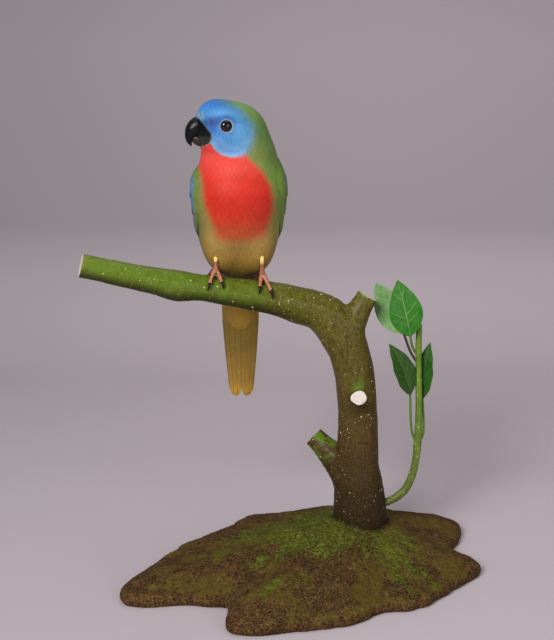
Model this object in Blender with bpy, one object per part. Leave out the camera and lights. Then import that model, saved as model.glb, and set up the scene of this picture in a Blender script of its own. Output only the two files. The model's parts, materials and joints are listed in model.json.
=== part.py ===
# Carved wooden parakeet on a painted branch, with a leafy sprig, on a mossy ground base.
# Lengths are in millimetres until a mesh is made. X runs right, Y back and Z up, measured
# from the middle of the trunk's foot at the level that the base stands on. Each table below
# holds the proportions of one form, and the driving dimension that sizes it stands over it.
# At the end everything is moved so that the middle of its box is over the origin.

import math

import bmesh
import bpy
import numpy as np
from mathutils import Vector, noise

MM = 0.001

# Clearance left between any two pieces, and between a peg and its bore.
GAP = 0.3

# Ground base
BASE_REACH = 129.0
BASE_MIDDLE_X = -30.0
BASE_MIDDLE_Y = -25.0
BASE_EDGE = 6.5
BASE_TOP = 22.0
SOCKET_FLOOR = 8.0

# Branch
TRUNK_DIAMETER = 24.0
TRUNK_RISE = 148.0
TRUNK_SIDES = 16
ARM_DIAMETER = 18.0
ARM_REACH = 151.7
TOP_STUB_DIAMETER = 13.0
TOP_STUB_LENGTH = 31.0
LEFT_STUB_DIAMETER = 13.2
LEFT_STUB_LENGTH = 39.4
FRONT_STUB_DIAMETER = 9.3
FRONT_STUB_LENGTH = 21.0

# Bird
BIRD_HEIGHT = 196.0
BIRD_REACH = 77.8
BIRD_TURN = 1.0
HEAD_TURN = 72.0
PERCH_CLEARANCE = 1.2
EYE_DIAMETER = 7.0
EYE_DEPTH = 4.6
EYE_PROUD = 1.4

# Feet
LEG_DIAMETER = 3.0
LEG_SPREAD = 28.0
LEG_BORE_DEPTH = 8.0
TOE_DIAMETER = 3.0

# Sprig
STEM_DIAMETER = 5.2
STEM_TIP_DIAMETER = 3.8
STEM_STANDOFF = 37.0
STEM_FOOT_HEIGHT = 34.0
STEM_TOP_HEIGHT = 153.0
STEM_BORE_DEPTH = 6.0
STALK_DIAMETER = 1.6
STALK_BORE_DEPTH = 1.8
LEAF_THICKNESS = 0.9

# The bird's forms below are those of a bird this tall that sits on an arm of this radius.
# They are scaled to BIRD_HEIGHT and moved to the arm.
DRAWN_HEIGHT = 196.0
DRAWN_ARM_RADIUS = 8.9

# Middle (right, back, up), half sizes (across, deep, high), turn and lean in degrees.
BODY_MASSES = (
    ((-0.3, 7, 30), (25, 20.2, 25.5), 0, 22),
    ((0, 1, 49), (26.3, 23, 23.9), 0, 8),
    ((0, 8, 59.7), (25, 19, 23.8), 0, 10),
    ((0.9, 2.3, 74.9), (20.2, 17.1, 17.5), 0, 0),
    ((0, 22, 8), (16, 12, 24), 0, 28),
    ((0, 14, 10), (14.5, 12.5, 12), 0, 25),
    ((0, 31, -18), (12, 6.5, 26), 0, 19),
    ((-13.7, 0, 18.7), (6.9, 8, 9.7), 0, 0),
    ((13.1, 0, 18.7), (6.9, 8, 9.7), 0, 0),
    ((-14, -6, 97.2), (7.6, 7.6, 7.6), 0, 0),
)
SKULL_MIDDLE = (-5.0, -3.6, 89.2)
SKULL_SIZE = (21.6, 15.8, 16.3)
BLEND = 9.0

# The line up the middle of the body, from the tail coverts to the middle of the skull.
SPINE = ((0, 34, -34), (0, 28, -14), (0, 20, 5), (0, 10, 28), (0, 4, 52), (-1, 1, 72), (-5.5, -2.5, 88))

# The beak and the eyes are placed from here, along the head's own axes.
FACE_MIDDLE = (-6.2, -3.6, 90.2)
# Forward and up from there, half height, half width.
UPPER_BEAK = (
    (11, 1.3, 6.4, 6.2),
    (17.0, 1.0, 6.2, 5.8),
    (20.9, -1.2, 5.0, 4.8),
    (23.0, -4.6, 3.1, 3.3),
    (23.3, -7.6, 1.7, 1.9),
    (22.2, -10.2, 0.4, 0.5),
)
LOWER_BEAK = (
    (8, -5.2, 5.0, 5.4),
    (14.0, -6.6, 4.7, 4.9),
    (18.6, -6.4, 3.6, 3.8),
    (21.8, -5.0, 1.6, 2.2),
)
LEG_MOUTH_BACK = -3.5
LEG_MOUTH_UP = 12.5
EYE_FORWARD = 4.7
EYE_UP = 1.4

# Toes: forward or back, how far the claw stands outwards of the leg, degrees round the arm.
TOES = ((1, 4.4, 84), (1, -3.4, 74), (-1, 7.6, 88), (-1, -6.6, 80))

# Feather rows of a wing: start, end at its lower and at its upper edge, height. Start and
# end run along the spine from 0 at the tail coverts to 1 in the skull.
WING_ROWS = (
    (0.58, 0.24, 0.04, 1.5),
    (0.72, 0.40, 0.20, 1.9),
    (0.80, 0.53, 0.42, 2.4),
    (0.86, 0.66, 0.60, 3.0),
)
# Feather ends in each of the rows, and how far they stand out of the row's edge.
WING_SCALLOPS = (4, 4, 3, 3)
SCALLOP = 0.014

# Edges of a wing: share of the spine, bearing of the lower and of the upper edge in degrees.
WING_EDGES = (
    (-0.1, -74, -89),
    (0.05, -58, -88),
    (0.2, -36, -86),
    (0.35, -10, -82),
    (0.5, 10, -78),
    (0.65, 24, -74),
    (0.76, 22, -68),
    (0.86, 0, -58),
)

# Tail, from its root under the coverts to the middle of its two tips.
TAIL_ROOT = (0, 29, -12)
TAIL_TIP = (0, 56, -91.5)
TAIL_ROWS = (0, 0.3, 0.6, 1.0)
TAIL_HALF_WIDTH = (12.0, 11.8, 10.4, 7.8)
TAIL_THICKNESS = (8.0, 5.0, 3.2, 2.2)
TAIL_NOTCH = 0.09

# Trunk: sideways, up and girth, as shares of its own rise and diameter.
TRUNK_FORM = (
    (0.0, 0.0, 1.5),
    (-0.001, 0.08, 1.49),
    (-0.006, 0.22, 1.38),
    (-0.018, 0.30, 1.24),
    (-0.016, 0.39, 1.15),
    (-0.016, 0.54, 1.06),
    (-0.022, 0.65, 1.05),
    (-0.032, 0.74, 1.06),
    (-0.046, 0.82, 1.06),
    (-0.077, 0.91, 1.09),
    (-0.131, 0.997, 1.13),
)
# Arm: out, forward, up and girth, as shares of its own reach and diameter.
ARM_FORM = (
    (0.064, 0.010, 0.050, 1.35),
    (0.139, 0.036, 0.076, 1.28),
    (0.237, 0.076, 0.113, 1.15),
    (0.383, 0.105, 0.142, 1.0),
    (0.534, 0.132, 0.169, 0.9),
    (0.629, 0.155, 0.182, 1.06),
    (0.717, 0.176, 0.205, 0.92),
    (0.813, 0.198, 0.229, 0.86),
    (0.936, 0.224, 0.261, 0.79),
    (1.0, 0.239, 0.278, 0.785),
)

# Outline of the base: bearing in degrees and share of BASE_REACH.
BASE_OUTLINE = (
    (0, 0.78), (12, 0.715), (26, 0.87), (36, 0.89), (56, 0.77), (80, 0.70), (104, 0.62),
    (122, 0.65), (144, 0.61), (176, 0.745), (190, 0.865), (202, 1.0), (208, 0.92),
    (214, 0.74), (226, 0.62), (232, 0.67), (238, 0.77), (246, 0.77), (262, 0.67),
    (284, 0.62), (300, 0.57), (314, 0.64), (330, 0.67), (344, 0.74), (354, 0.81),
)
# Ridges that run from the trunk out to the edge: bearing of their end, half width, height.
BASE_RIDGES = (
    (200, 15.0, 4.0),
    (240, 16.0, 3.5),
    (276, 12.0, 2.0),
    (352, 13.0, 3.0),
    (35, 15.0, 2.5),
    (170, 12.0, 2.0),
)

# Soft lumps of the ground: how far apart, how high, and the seed of their pattern.
BASE_LUMPS = ((17.0, 1.5, 63.0), (8.0, 0.9, 73.0))

# Side branches: height on the trunk as a share of its rise, direction, flare at the root.
TOP_STUB = (0.93, (0.5, 0, 0.87), 0.96)
LEFT_STUB = (0.29, (-0.73, 0.26, 0.66), 1.0)
FRONT_STUB = (0.66, (0, -0.96, 0.28), 0.5)

# Stem: share of the way out to its standoff and share of its height.
STEM_FORM = (
    (-0.1, -0.004), (0.12, 0.01), (0.43, 0.04), (0.68, 0.088), (0.87, 0.172), (0.95, 0.256),
    (0.985, 0.34), (1.0, 0.47), (0.98, 0.64), (0.955, 0.75), (0.935, 0.86), (0.93, 1.0),
)
STEM_KNOT = 0.36

# Leaves: name, share of the stem where the stalk leaves it, side it leaves on,
# stalk's end and leaf's tip as offsets from there, leaf width, which way its face turns, bend.
LEAVES = (
    ("leaf_upper_front", 0.835, -1, (-6.4, -6.0, 14.5), (-15.4, -6.0, 50.5), 21.0, (0.02, -0.98, 0.2), 2.0),
    ("leaf_upper_back", 0.79, -1, (-9.6, 5.0, 18.8), (-28.0, 8.0, 51.3), 20.0, (-0.3, -0.9, 0.3), -2.0),
    ("leaf_lower_left", 0.36, -1, (-6.2, -3.2, 32.0), (-20.6, -4.6, 65.5), 16.4, (0.55, -0.8, 0.2), 2.5),
    ("leaf_lower_right", 0.355, 1, (2.8, 3.4, 28.0), (6.9, 4.0, 65.0), 13.5, (-0.62, -0.78, 0.1), 1.5),
)
LEAF_FOLD = 0.22


def clear_scene():
    for obj in list(bpy.data.objects):
        bpy.data.objects.remove(obj, do_unlink=True)


def paint(name, colour, roughness):
    """A plain painted or glass surface."""
    made = bpy.data.materials.new(name)
    made.use_nodes = True
    shader = made.node_tree.nodes["Principled BSDF"]
    shader.inputs["Base Color"].default_value = (*colour, 1.0)
    shader.inputs["Roughness"].default_value = roughness
    shader.inputs["Metallic"].default_value = 0.0
    made.diffuse_color = (*colour, 1.0)
    return made


def add_object(name, shape, material=None, crease=50.0):
    """An object from points in millimetres and faces, its faces turned outwards."""
    points, faces = shape
    mesh = bpy.data.meshes.new(name)
    mesh.from_pydata([tuple(p) for p in np.asarray(points) * MM], [], faces)
    work = bmesh.new()
    work.from_mesh(mesh)
    bmesh.ops.remove_doubles(work, verts=work.verts, dist=1e-6)
    bmesh.ops.triangulate(work, faces=work.faces)
    bmesh.ops.recalc_face_normals(work, faces=work.faces)
    work.to_mesh(mesh)
    work.free()
    if material:
        mesh.materials.append(material)
    obj = bpy.data.objects.new(name, mesh)
    bpy.context.scene.collection.objects.link(obj)
    mesh.shade_smooth()
    mesh.set_sharp_from_angle(angle=math.radians(crease))
    return obj


def combine(target, other, operation):
    """Joins other to target or cuts it away, and removes it."""
    modifier = target.modifiers.new(operation.title(), "BOOLEAN")
    modifier.operation = operation
    modifier.solver = "EXACT"
    modifier.object = other
    graph = bpy.context.evaluated_depsgraph_get()
    mesh = bpy.data.meshes.new_from_object(target.evaluated_get(graph))
    target.modifiers.remove(modifier)
    target.data = mesh
    bpy.data.objects.remove(other, do_unlink=True)


def merge_flat(obj, degrees):
    """Joins the slivers that the cuts and unions leave between nearly level faces."""
    work = bmesh.new()
    work.from_mesh(obj.data)
    bmesh.ops.dissolve_limit(work, angle_limit=math.radians(degrees), verts=work.verts, edges=work.edges)
    bmesh.ops.triangulate(work, faces=work.faces)
    work.to_mesh(obj.data)
    work.free()


def smooth_path(stations, count):
    """count places, evenly spaced on a smooth curve through the stations, with their sizes."""
    knots = np.asarray(stations, float)
    knots = np.vstack([2 * knots[0] - knots[1], knots, 2 * knots[-1] - knots[-2]])
    share = np.linspace(0, 1, 24, endpoint=False)[:, None]
    runs = []
    for a, b, c, d in zip(knots, knots[1:], knots[2:], knots[3:]):
        bend = (2 * a - 5 * b + 4 * c - d) * share**2 + (3 * b - a - 3 * c + d) * share**3
        runs.append(b + 0.5 * ((c - a) * share + bend))
    fine = np.vstack([*runs, knots[-2:-1]])
    steps = np.linalg.norm(np.diff(fine[:, :3], axis=0), axis=1)
    along = np.concatenate([[0], np.cumsum(steps)])
    even = np.linspace(0, along[-1], count)
    return np.stack([np.interp(even, along, column) for column in fine.T], axis=1)


def unit(vectors):
    return vectors / np.linalg.norm(vectors, axis=-1, keepdims=True)


def tube(path, sides, hint=(0, 0, 1)):
    """A closed tube. Columns 4 and 5 of path are its radii along hint and across it."""
    path = np.asarray(path, float)
    centres = path[:, :3]
    tangents = unit(np.gradient(centres, axis=0))
    across = np.zeros_like(centres)
    side = np.cross(tangents[0], hint)
    for i, tangent in enumerate(tangents):
        side = side - tangent * side.dot(tangent)
        across[i] = side = side / np.linalg.norm(side)
    up = np.cross(across, tangents)
    angles = np.linspace(0, 2 * math.pi, sides, endpoint=False)
    high, wide = path[:, 3], path[:, -1]
    rings = (
        centres[:, None]
        + (wide[:, None] * np.cos(angles))[..., None] * across[:, None]
        + (high[:, None] * np.sin(angles))[..., None] * up[:, None]
    )
    faces = ring_faces(len(path), sides)
    last = (len(path) - 1) * sides
    faces += [list(range(sides)), list(range(last, last + sides))]
    return rings.reshape(-1, 3), faces


def ring_faces(rings, sides):
    """Quads between rings of points that each close on themselves."""
    faces = []
    for i in range(rings - 1):
        for j in range(sides):
            k = (j + 1) % sides
            faces.append([i * sides + j, i * sides + k, (i + 1) * sides + k, (i + 1) * sides + j])
    return faces


def sheet_solid(outer, inner):
    """A closed solid between two grids of points of one size."""
    rows, columns = outer.shape[:2]
    count = rows * columns
    faces = []
    for i in range(rows - 1):
        for j in range(columns - 1):
            a = i * columns + j
            quad = [a, a + 1, a + columns + 1, a + columns]
            faces += [quad, [count + k for k in reversed(quad)]]
    rim = list(range(columns))
    rim += [i * columns + columns - 1 for i in range(1, rows)]
    rim += [(rows - 1) * columns + j for j in range(columns - 2, -1, -1)]
    rim += [i * columns for i in range(rows - 2, 0, -1)]
    for a, b in zip(rim, rim[1:] + rim[:1]):
        faces.append([a, b, count + b, count + a])
    return np.concatenate([outer.reshape(-1, 3), inner.reshape(-1, 3)]), faces


# Branch


def branch_line():
    """Middle line of trunk and arm from the socket floor to the cut end, with the radius."""
    trunk = [
        (sway * TRUNK_RISE, 0.0, SOCKET_FLOOR + rise * TRUNK_RISE, girth * TRUNK_DIAMETER / 2)
        for sway, rise, girth in TRUNK_FORM
    ]
    x, y, z, _ = trunk[-1]
    arm = [
        (x - out * ARM_REACH, y - forward * ARM_REACH, z + up * ARM_REACH, girth * ARM_DIAMETER / 2)
        for out, forward, up, girth in ARM_FORM
    ]
    return np.array(trunk + arm)


def trunk_at(height):
    """Middle and radius of the trunk at a height over the table."""
    line = smooth_path(branch_line()[: len(TRUNK_FORM)], 60)
    return np.array([np.interp(height, line[:, 2], line[:, k]) for k in range(4)])


def arm_at(x):
    """The arm at a place across: middle, radius, direction along it to the right, up and
    to the front, the last two square to it."""
    line = smooth_path(branch_line()[len(TRUNK_FORM) - 1 :], 120)[::-1]
    here = np.array([np.interp(x, line[:, 0], line[:, k]) for k in range(4)])
    slope = np.array([np.interp(x, line[:, 0], np.gradient(line[:, k])) for k in range(3)])
    along = unit(slope)
    up = unit(np.array([0, 0, 1.0]) - along * along[2])
    return here[:3], here[3], along, up, np.cross(along, up)


def stub_shape(form, length, diameter):
    """A sawn-off side branch that widens where it leaves the trunk."""
    rise, direction, root_share = form
    middle = trunk_at(SOCKET_FLOOR + rise * TRUNK_RISE)
    direction = unit(np.array(direction, float))
    path = []
    for share in np.linspace(0, 1, 7):
        flare = (1 - min(1.0, share / 0.9)) ** 1.5
        radius = diameter / 2 + flare * (root_share * middle[3] - diameter / 2)
        path.append((*(middle[:3] + direction * length * share), radius))
    return tube(path, 12, hint=np.cross(direction, (1, 0, 0.3)))


def make_branch():
    line = smooth_path(branch_line(), 34)
    trunk_and_arm = tube(line, TRUNK_SIDES, hint=(0, -1, 0))
    branch = add_object("branch", trunk_and_arm, paint("bark", (0.07, 0.08, 0.02), 0.5))
    stubs = (
        stub_shape(TOP_STUB, TOP_STUB_LENGTH, TOP_STUB_DIAMETER),
        stub_shape(LEFT_STUB, LEFT_STUB_LENGTH, LEFT_STUB_DIAMETER),
        stub_shape(FRONT_STUB, FRONT_STUB_LENGTH, FRONT_STUB_DIAMETER),
    )
    for shape in stubs:
        combine(branch, add_object("stub", shape), "UNION")
    combine(branch, add_object("stem_bore", tube(stem_bore_line(), 12)), "DIFFERENCE")
    return branch


# Ground base


def base_reach(bearing):
    """How far the base reaches at a bearing in degrees, on a smooth closed curve."""
    points = list(BASE_OUTLINE)
    looped = [(b - 360, r) for b, r in points[-2:]] + points + [(b + 360, r) for b, r in points[:2]]
    line = smooth_path([(b, 0.0, 0.0, r) for b, r in looped], 720)
    return BASE_REACH * np.interp(bearing % 360, line[:, 0], line[:, 3])


def base_point(bearing, share):
    """A place on the base by its bearing and its share of the reach there."""
    reach = base_reach(bearing) * share
    turn = math.radians(bearing)
    return BASE_MIDDLE_X + reach * math.cos(turn), BASE_MIDDLE_Y + reach * math.sin(turn)


def ground_height(x, y, share):
    """Top of the mound: highest round the trunk, with ridges and soft lumps."""
    to_trunk = math.hypot(x, y)
    off_trunk = min(1.0, to_trunk / (1.25 * TRUNK_DIAMETER))
    swell = (1 - share**2.4) * (0.42 + 0.58 * math.exp(-((to_trunk / (2 * TRUNK_DIAMETER)) ** 2)))
    height = BASE_EDGE + (BASE_TOP - BASE_EDGE) * swell
    for toward, spread, rise in BASE_RIDGES:
        end_x, end_y = base_point(toward, 1.0)
        along = min(1.0, max(0.0, (x * end_x + y * end_y) / (end_x**2 + end_y**2)))
        off = math.hypot(x - along * end_x, y - along * end_y)
        height += rise * math.exp(-((off / spread) ** 2)) * min(1.0, 4 * (1 - share)) * off_trunk
    lumps = sum(rise * noise.noise(Vector((x, y, seed)) / size) for size, rise, seed in BASE_LUMPS)
    return height + lumps * min(1.0, 3 * (1 - share) + 0.25) * off_trunk


def make_base():
    """A low mound with an irregular outline and a socket for the trunk."""
    bearings = np.arange(0, 360, 6.0)
    top_shares = (0.22, 0.42, 0.6, 0.76, 0.88, 0.95)
    rings = []
    for share in top_shares:
        places = [base_point(bearing, share) for bearing in bearings]
        rings.append([(x, y, ground_height(x, y, share)) for x, y in places])
    for share, height in ((0.99, 0.72 * BASE_EDGE), (1.0, 0.35 * BASE_EDGE), (0.985, 0.0)):
        rings.append([(*base_point(bearing, share), height) for bearing in bearings])
    sides = len(bearings)
    points = [p for ring in rings for p in ring]
    faces = ring_faces(len(rings), sides)
    points.append((BASE_MIDDLE_X, BASE_MIDDLE_Y, ground_height(BASE_MIDDLE_X, BASE_MIDDLE_Y, 0)))
    peak = len(points) - 1
    faces += [[peak, j, (j + 1) % sides] for j in range(sides)]
    last = (len(rings) - 1) * sides
    faces.append(list(range(last, last + sides)))
    base = add_object("ground_base", (points, faces), paint("ground", (0.05, 0.03, 0.015), 0.95))
    foot = smooth_path(branch_line()[:3], 8)
    foot[:, 3] += GAP
    foot[0, 2] -= GAP
    combine(base, add_object("trunk_socket", tube(foot, TRUNK_SIDES, hint=(0, -1, 0))), "DIFFERENCE")
    return base


# Bird


def perch():
    """Where the bird's own forms have their origin: over and behind the arm by its radius."""
    middle, radius, *_ = arm_at(-BIRD_REACH)
    return middle + np.array([0.0, radius - DRAWN_ARM_RADIUS, radius + PERCH_CLEARANCE])


def turned(points, degrees):
    """Points turned about Z."""
    turn = math.radians(degrees)
    x, y, z = np.moveaxis(np.asarray(points, float), -1, 0)
    return np.stack([math.cos(turn) * x - math.sin(turn) * y, math.sin(turn) * x + math.cos(turn) * y, z], -1)


def place_bird(points):
    """From the bird's own drawing to its place on the arm."""
    return turned(np.asarray(points, float) * (BIRD_HEIGHT / DRAWN_HEIGHT), BIRD_TURN) + perch()


def head_axes():
    """Forward, left and up of the head, in the bird's own drawing."""
    turn = math.radians(HEAD_TURN + BIRD_TURN)
    forward = np.array([-math.sin(turn), -math.cos(turn), 0.0])
    return forward, np.array([-forward[1], forward[0], 0.0]), np.array([0.0, 0.0, 1.0])


def head_point(forward, left, up):
    axes = head_axes()
    return np.array(FACE_MIDDLE) + forward * axes[0] + left * axes[1] + up * axes[2]


def ellipsoid_depth(points, middle, axes, sizes):
    """Roughly how far points are outside an ellipsoid, negative inside it."""
    local = (points - middle) @ np.array(axes).T
    plain = np.linalg.norm(local / sizes, axis=-1)
    steep = np.linalg.norm(local / np.square(sizes), axis=-1)
    return plain * (plain - 1) / np.maximum(steep, 1e-9)


def body_depth(points):
    """How far points are outside the bird's body and head, all its masses blended."""
    found = ellipsoid_depth(points, np.array(SKULL_MIDDLE), head_axes(), np.array(SKULL_SIZE))
    for middle, sizes, turn, lean in BODY_MASSES:
        a, b = math.radians(turn), math.radians(lean)
        axes = np.array([
            (math.cos(a), math.sin(a), 0.0),
            (-math.sin(a) * math.cos(b), math.cos(a) * math.cos(b), math.sin(b)),
            (math.sin(a) * math.sin(b), -math.cos(a) * math.sin(b), math.cos(b)),
        ])
        other = ellipsoid_depth(points, np.array(middle), axes, np.array(sizes))
        mix = np.clip(0.5 + 0.5 * (other - found) / BLEND, 0, 1)
        found = other + (found - other) * mix - BLEND * mix * (1 - mix)
    return found


def leave_body(origins, directions):
    """Where rays from inside the body come out of it."""
    near = np.zeros(origins.shape[:-1])
    far = np.full(origins.shape[:-1], 60.0)
    for _ in range(26):
        middle = (near + far) / 2
        inside = body_depth(origins + directions * middle[..., None]) < 0
        near = np.where(inside, middle, near)
        far = np.where(inside, far, middle)
    return far


def skin(share, bearing, lift=0.0):
    """The body's surface by share of the spine and bearing round it, raised by lift.
    Shares under 0 and over 1 fan round the spine's ends, to -1 and 2 on its own line."""
    share, bearing = np.broadcast_arrays(np.asarray(share, float), np.asarray(bearing, float))
    line = smooth_path(SPINE, 60)
    along = np.linspace(0, 1, len(line))
    inner = np.clip(share, 0, 1)
    origins = np.stack([np.interp(inner, along, line[:, k]) for k in range(3)], -1)
    slopes = unit(np.gradient(line, axis=0))
    tangents = unit(np.stack([np.interp(inner, along, slopes[:, k]) for k in range(3)], -1))
    right = unit(np.array([1.0, 0, 0]) - tangents * tangents[..., :1])
    front = np.cross(right, tangents)
    turn = np.radians(bearing)[..., None]
    tip = ((share - inner) * math.pi / 2)[..., None]
    directions = np.cos(tip) * (np.cos(turn) * right + np.sin(turn) * front) + np.sin(tip) * tangents
    reach = leave_body(origins, directions) + lift
    return origins + directions * reach[..., None]


def body_shape():
    """Rings round the spine, closed to a point at the crown and under the tail coverts."""
    low_cap, high_cap = (-0.75, -0.5, -0.25), (1.17, 1.34, 1.51, 1.68, 1.85)
    shares = np.concatenate([low_cap, np.linspace(0, 1, 18), high_cap])
    bearings = np.arange(0, 360, 18.0)
    sides = len(bearings)
    points = skin(shares[:, None], bearings[None, :]).reshape(-1, 3)
    poles = skin(np.array([-1.0, 2.0]), np.array([0.0, 0.0]))
    points = place_bird(np.concatenate([points, poles]))
    faces = ring_faces(len(shares), sides)
    low, high = len(points) - 2, len(points) - 1
    last = (len(shares) - 1) * sides
    for j in range(sides):
        k = (j + 1) % sides
        faces += [[low, k, j], [high, last + j, last + k]]
    return points, faces


def wing_row(side, scallops, start, low_end, high_end, height):
    """One row of feathers of a folded wing, lying on the body, its free ends scalloped."""
    across = np.linspace(0, 1, 3 * scallops + 1)
    down = np.array([0, 0.25, 0.6, 0.88, 1.0])
    ends = low_end + (high_end - low_end) * across**0.8
    ends = ends + SCALLOP * np.cos(2 * math.pi * scallops * across)
    shares = start + (ends[None, :] - start) * down[:, None]
    edges = np.array(WING_EDGES)
    low = np.interp(shares, edges[:, 0], edges[:, 1])
    high = np.interp(shares, edges[:, 0], edges[:, 2])
    bearings = low + (high - low) * across[None, :]
    if side < 0:
        bearings = 180 - bearings
    rise = np.interp(down, [0, 0.3, 1], [-0.6, height, height])[:, None]
    fade = np.interp(across, [0, 0.1, 0.75, 1], [0.75, 1, 1, 0.2])[None, :]
    outer = skin(shares, bearings, np.where(rise > 0, rise * fade, rise))
    inner = skin(shares, bearings, -1.2 - 0.6 * height)
    return sheet_solid(place_bird(outer), place_bird(inner))


def tail_shape():
    """Folded tail feathers side by side: two round tips with a notch between them."""
    root, tip = np.array(TAIL_ROOT, float), np.array(TAIL_TIP, float)
    length = np.linalg.norm(tip - root)
    down = unit(tip - root)
    front = np.cross(down, (1.0, 0, 0))
    edge = 0.03
    half = (0.0, 0.14, 1 / 3 - edge, 1 / 3 + edge, 0.5, 2 / 3 - edge, 2 / 3 + edge, 0.86, 1.0)
    columns = [-v for v in reversed(half)] + [v for v in half if v > 0]
    outer, inner = [], []
    for row in (0, 0.3, 0.6, 0.85, 0.94, 1.0):
        outer_row, inner_row = [], []
        for column in columns:
            middle = abs(abs(column) - 0.5) * 2
            at = row * (1 - TAIL_NOTCH * (1 - math.sqrt(1 - middle**2)))
            wide = np.interp(at, TAIL_ROWS, TAIL_HALF_WIDTH)
            thick = np.interp(at, TAIL_ROWS, TAIL_THICKNESS)
            feather = (abs(column) * 3) % 1.0
            shingle = 0.35 - 0.7 * feather if 0.05 < abs(column) < 0.95 else 0.0
            roof = -0.9 * column**2
            thin = 1 - 0.45 * abs(column) ** 3
            middle_line = root + down * length * at + np.array([column * wide, 0, 0])
            outer_row.append(middle_line + front * (thick / 2 * thin + roof + shingle))
            inner_row.append(middle_line + front * (-thick / 2 * thin + roof + 0.5 * shingle))
        outer.append(outer_row)
        inner.append(inner_row)
    return sheet_solid(place_bird(np.array(outer)), place_bird(np.array(inner)))


def beak_shape(stations, sides):
    """A tapering bill along its own curved line in the middle plane of the head."""
    path = [(*head_point(forward, 0, up), high, wide) for forward, up, high, wide in stations]
    path = smooth_path(path, 9)
    path[:, 3:] *= BIRD_HEIGHT / DRAWN_HEIGHT
    placed = np.column_stack([place_bird(path[:, :3]), path[:, 3:]])
    return tube(placed, sides)


def eye_middle(side):
    """Middle of an eye and the direction it looks in."""
    start = head_point(EYE_FORWARD, 0, EYE_UP)
    look = head_axes()[1] * side
    out = leave_body(start[None], look[None])[0]
    surface = place_bird(start + look * out)
    look = turned(look, BIRD_TURN)
    return surface + look * (EYE_PROUD - EYE_DEPTH / 2), look


def eye_shape(side, extra):
    """A flattened ball, larger by extra all round."""
    middle, look = eye_middle(side)
    up = np.array([0.0, 0.0, 1.0])
    across = np.cross(up, look)
    points, rings, sides = [], 7, 14
    for i in range(1, rings):
        turn = math.pi * i / rings
        for j in range(sides):
            a = 2 * math.pi * j / sides
            flat = (EYE_DIAMETER / 2 + extra) * math.sin(turn)
            offset = look * (EYE_DEPTH / 2 + extra) * math.cos(turn)
            points.append(middle + offset + flat * (math.cos(a) * across + math.sin(a) * up))
    faces = ring_faces(rings - 1, sides)
    points += [middle + look * (EYE_DEPTH / 2 + extra), middle - look * (EYE_DEPTH / 2 + extra)]
    front, rear, last = len(points) - 2, len(points) - 1, (rings - 2) * sides
    for j in range(sides):
        k = (j + 1) % sides
        faces += [[front, j, k], [rear, last + k, last + j]]
    return points, faces


def leg_line(side):
    """From the top of the leg's bore in the belly, out of the feathers, to the toes' root."""
    hub = foot_hub(side)
    spread = side * LEG_SPREAD / 2 * DRAWN_HEIGHT / BIRD_HEIGHT
    mouth = place_bird((spread, LEG_MOUTH_BACK, LEG_MOUTH_UP))
    return [mouth + unit(mouth - hub) * LEG_BORE_DEPTH, mouth, hub]


def make_bird():
    bird = add_object("bird", body_shape(), paint("feathers", (0.16, 0.3, 0.08), 0.5))
    for side in (-1, 1):
        for scallops, row in zip(WING_SCALLOPS, WING_ROWS):
            combine(bird, add_object("wing_row", wing_row(side, scallops, *row)), "UNION")
    combine(bird, add_object("tail", tail_shape()), "UNION")
    combine(bird, add_object("lower_beak", beak_shape(LOWER_BEAK, 12)), "UNION")
    combine(bird, add_object("upper_beak", beak_shape(UPPER_BEAK, 12)), "UNION")
    for side in (-1, 1):
        combine(bird, add_object("eye_socket", eye_shape(side, GAP)), "DIFFERENCE")
        top, _, hub = leg_line(side)
        radius = LEG_DIAMETER / 2 + GAP
        bore = [(*(top + unit(top - hub) * GAP), radius), (*hub, radius)]
        combine(bird, add_object("leg_bore", tube(bore, 9, hint=(1, 0, 0))), "DIFFERENCE")
    merge_flat(bird, 2.5)
    return bird


# Feet


def foot_hub(side):
    """Where the toes leave the leg, straight over the arm."""
    middle, radius, _, up, _ = arm_at(-BIRD_REACH + side * LEG_SPREAD / 2)
    rise = (radius + GAP + TOE_DIAMETER * 1.25) / up[2]
    return middle + np.array([0, -2.0, rise])


def toe(side, forward, splay, reach):
    """A toe that bends down round the arm and ends in a claw. forward is 1 or -1."""
    foot_x = -BIRD_REACH + side * LEG_SPREAD / 2
    _, arm_radius, _, arm_up, _ = arm_at(foot_x)
    stations = [(*foot_hub(side), 0.5 * TOE_DIAMETER)]
    for share in np.linspace(0.22, 1.0, 7):
        turn = math.radians(reach * share)
        lean = arm_up[0] * (arm_radius + TOE_DIAMETER) * math.cos(turn)
        middle, radius, _, up, front = arm_at(foot_x + splay * share**0.8 - lean)
        claw = max(0.0, (share - 0.72) / 0.28)
        thick = 0.5 * TOE_DIAMETER * (1 - 0.12 * share) * (1 - claw) + 0.25 * claw
        lift = (1 - min(1.0, share / 0.5)) ** 2 * TOE_DIAMETER * 0.9
        out = radius + GAP + 0.1 + thick + lift + 0.9 * math.sin(math.pi * claw) * (claw > 0)
        stations.append((*(middle + out * (math.cos(turn) * up + forward * math.sin(turn) * front)), thick))
    return tube(smooth_path(stations, 8), 6, hint=(1, 0, 0))


def make_foot(name, side):
    """A cast foot: leg with its peg, two toes forward and two back."""
    top, mouth, hub = leg_line(side)
    leg = [(*p, LEG_DIAMETER / 2) for p in (top, mouth, hub)]
    foot = add_object(name, tube(leg, 9, hint=(1, 0, 0)), paint(name + "_skin", (0.6, 0.3, 0.2), 0.45))
    for forward, splay, reach in TOES:
        combine(foot, add_object("toe", toe(side, forward, splay * side, reach)), "UNION")
    return foot


# Sprig


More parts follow.
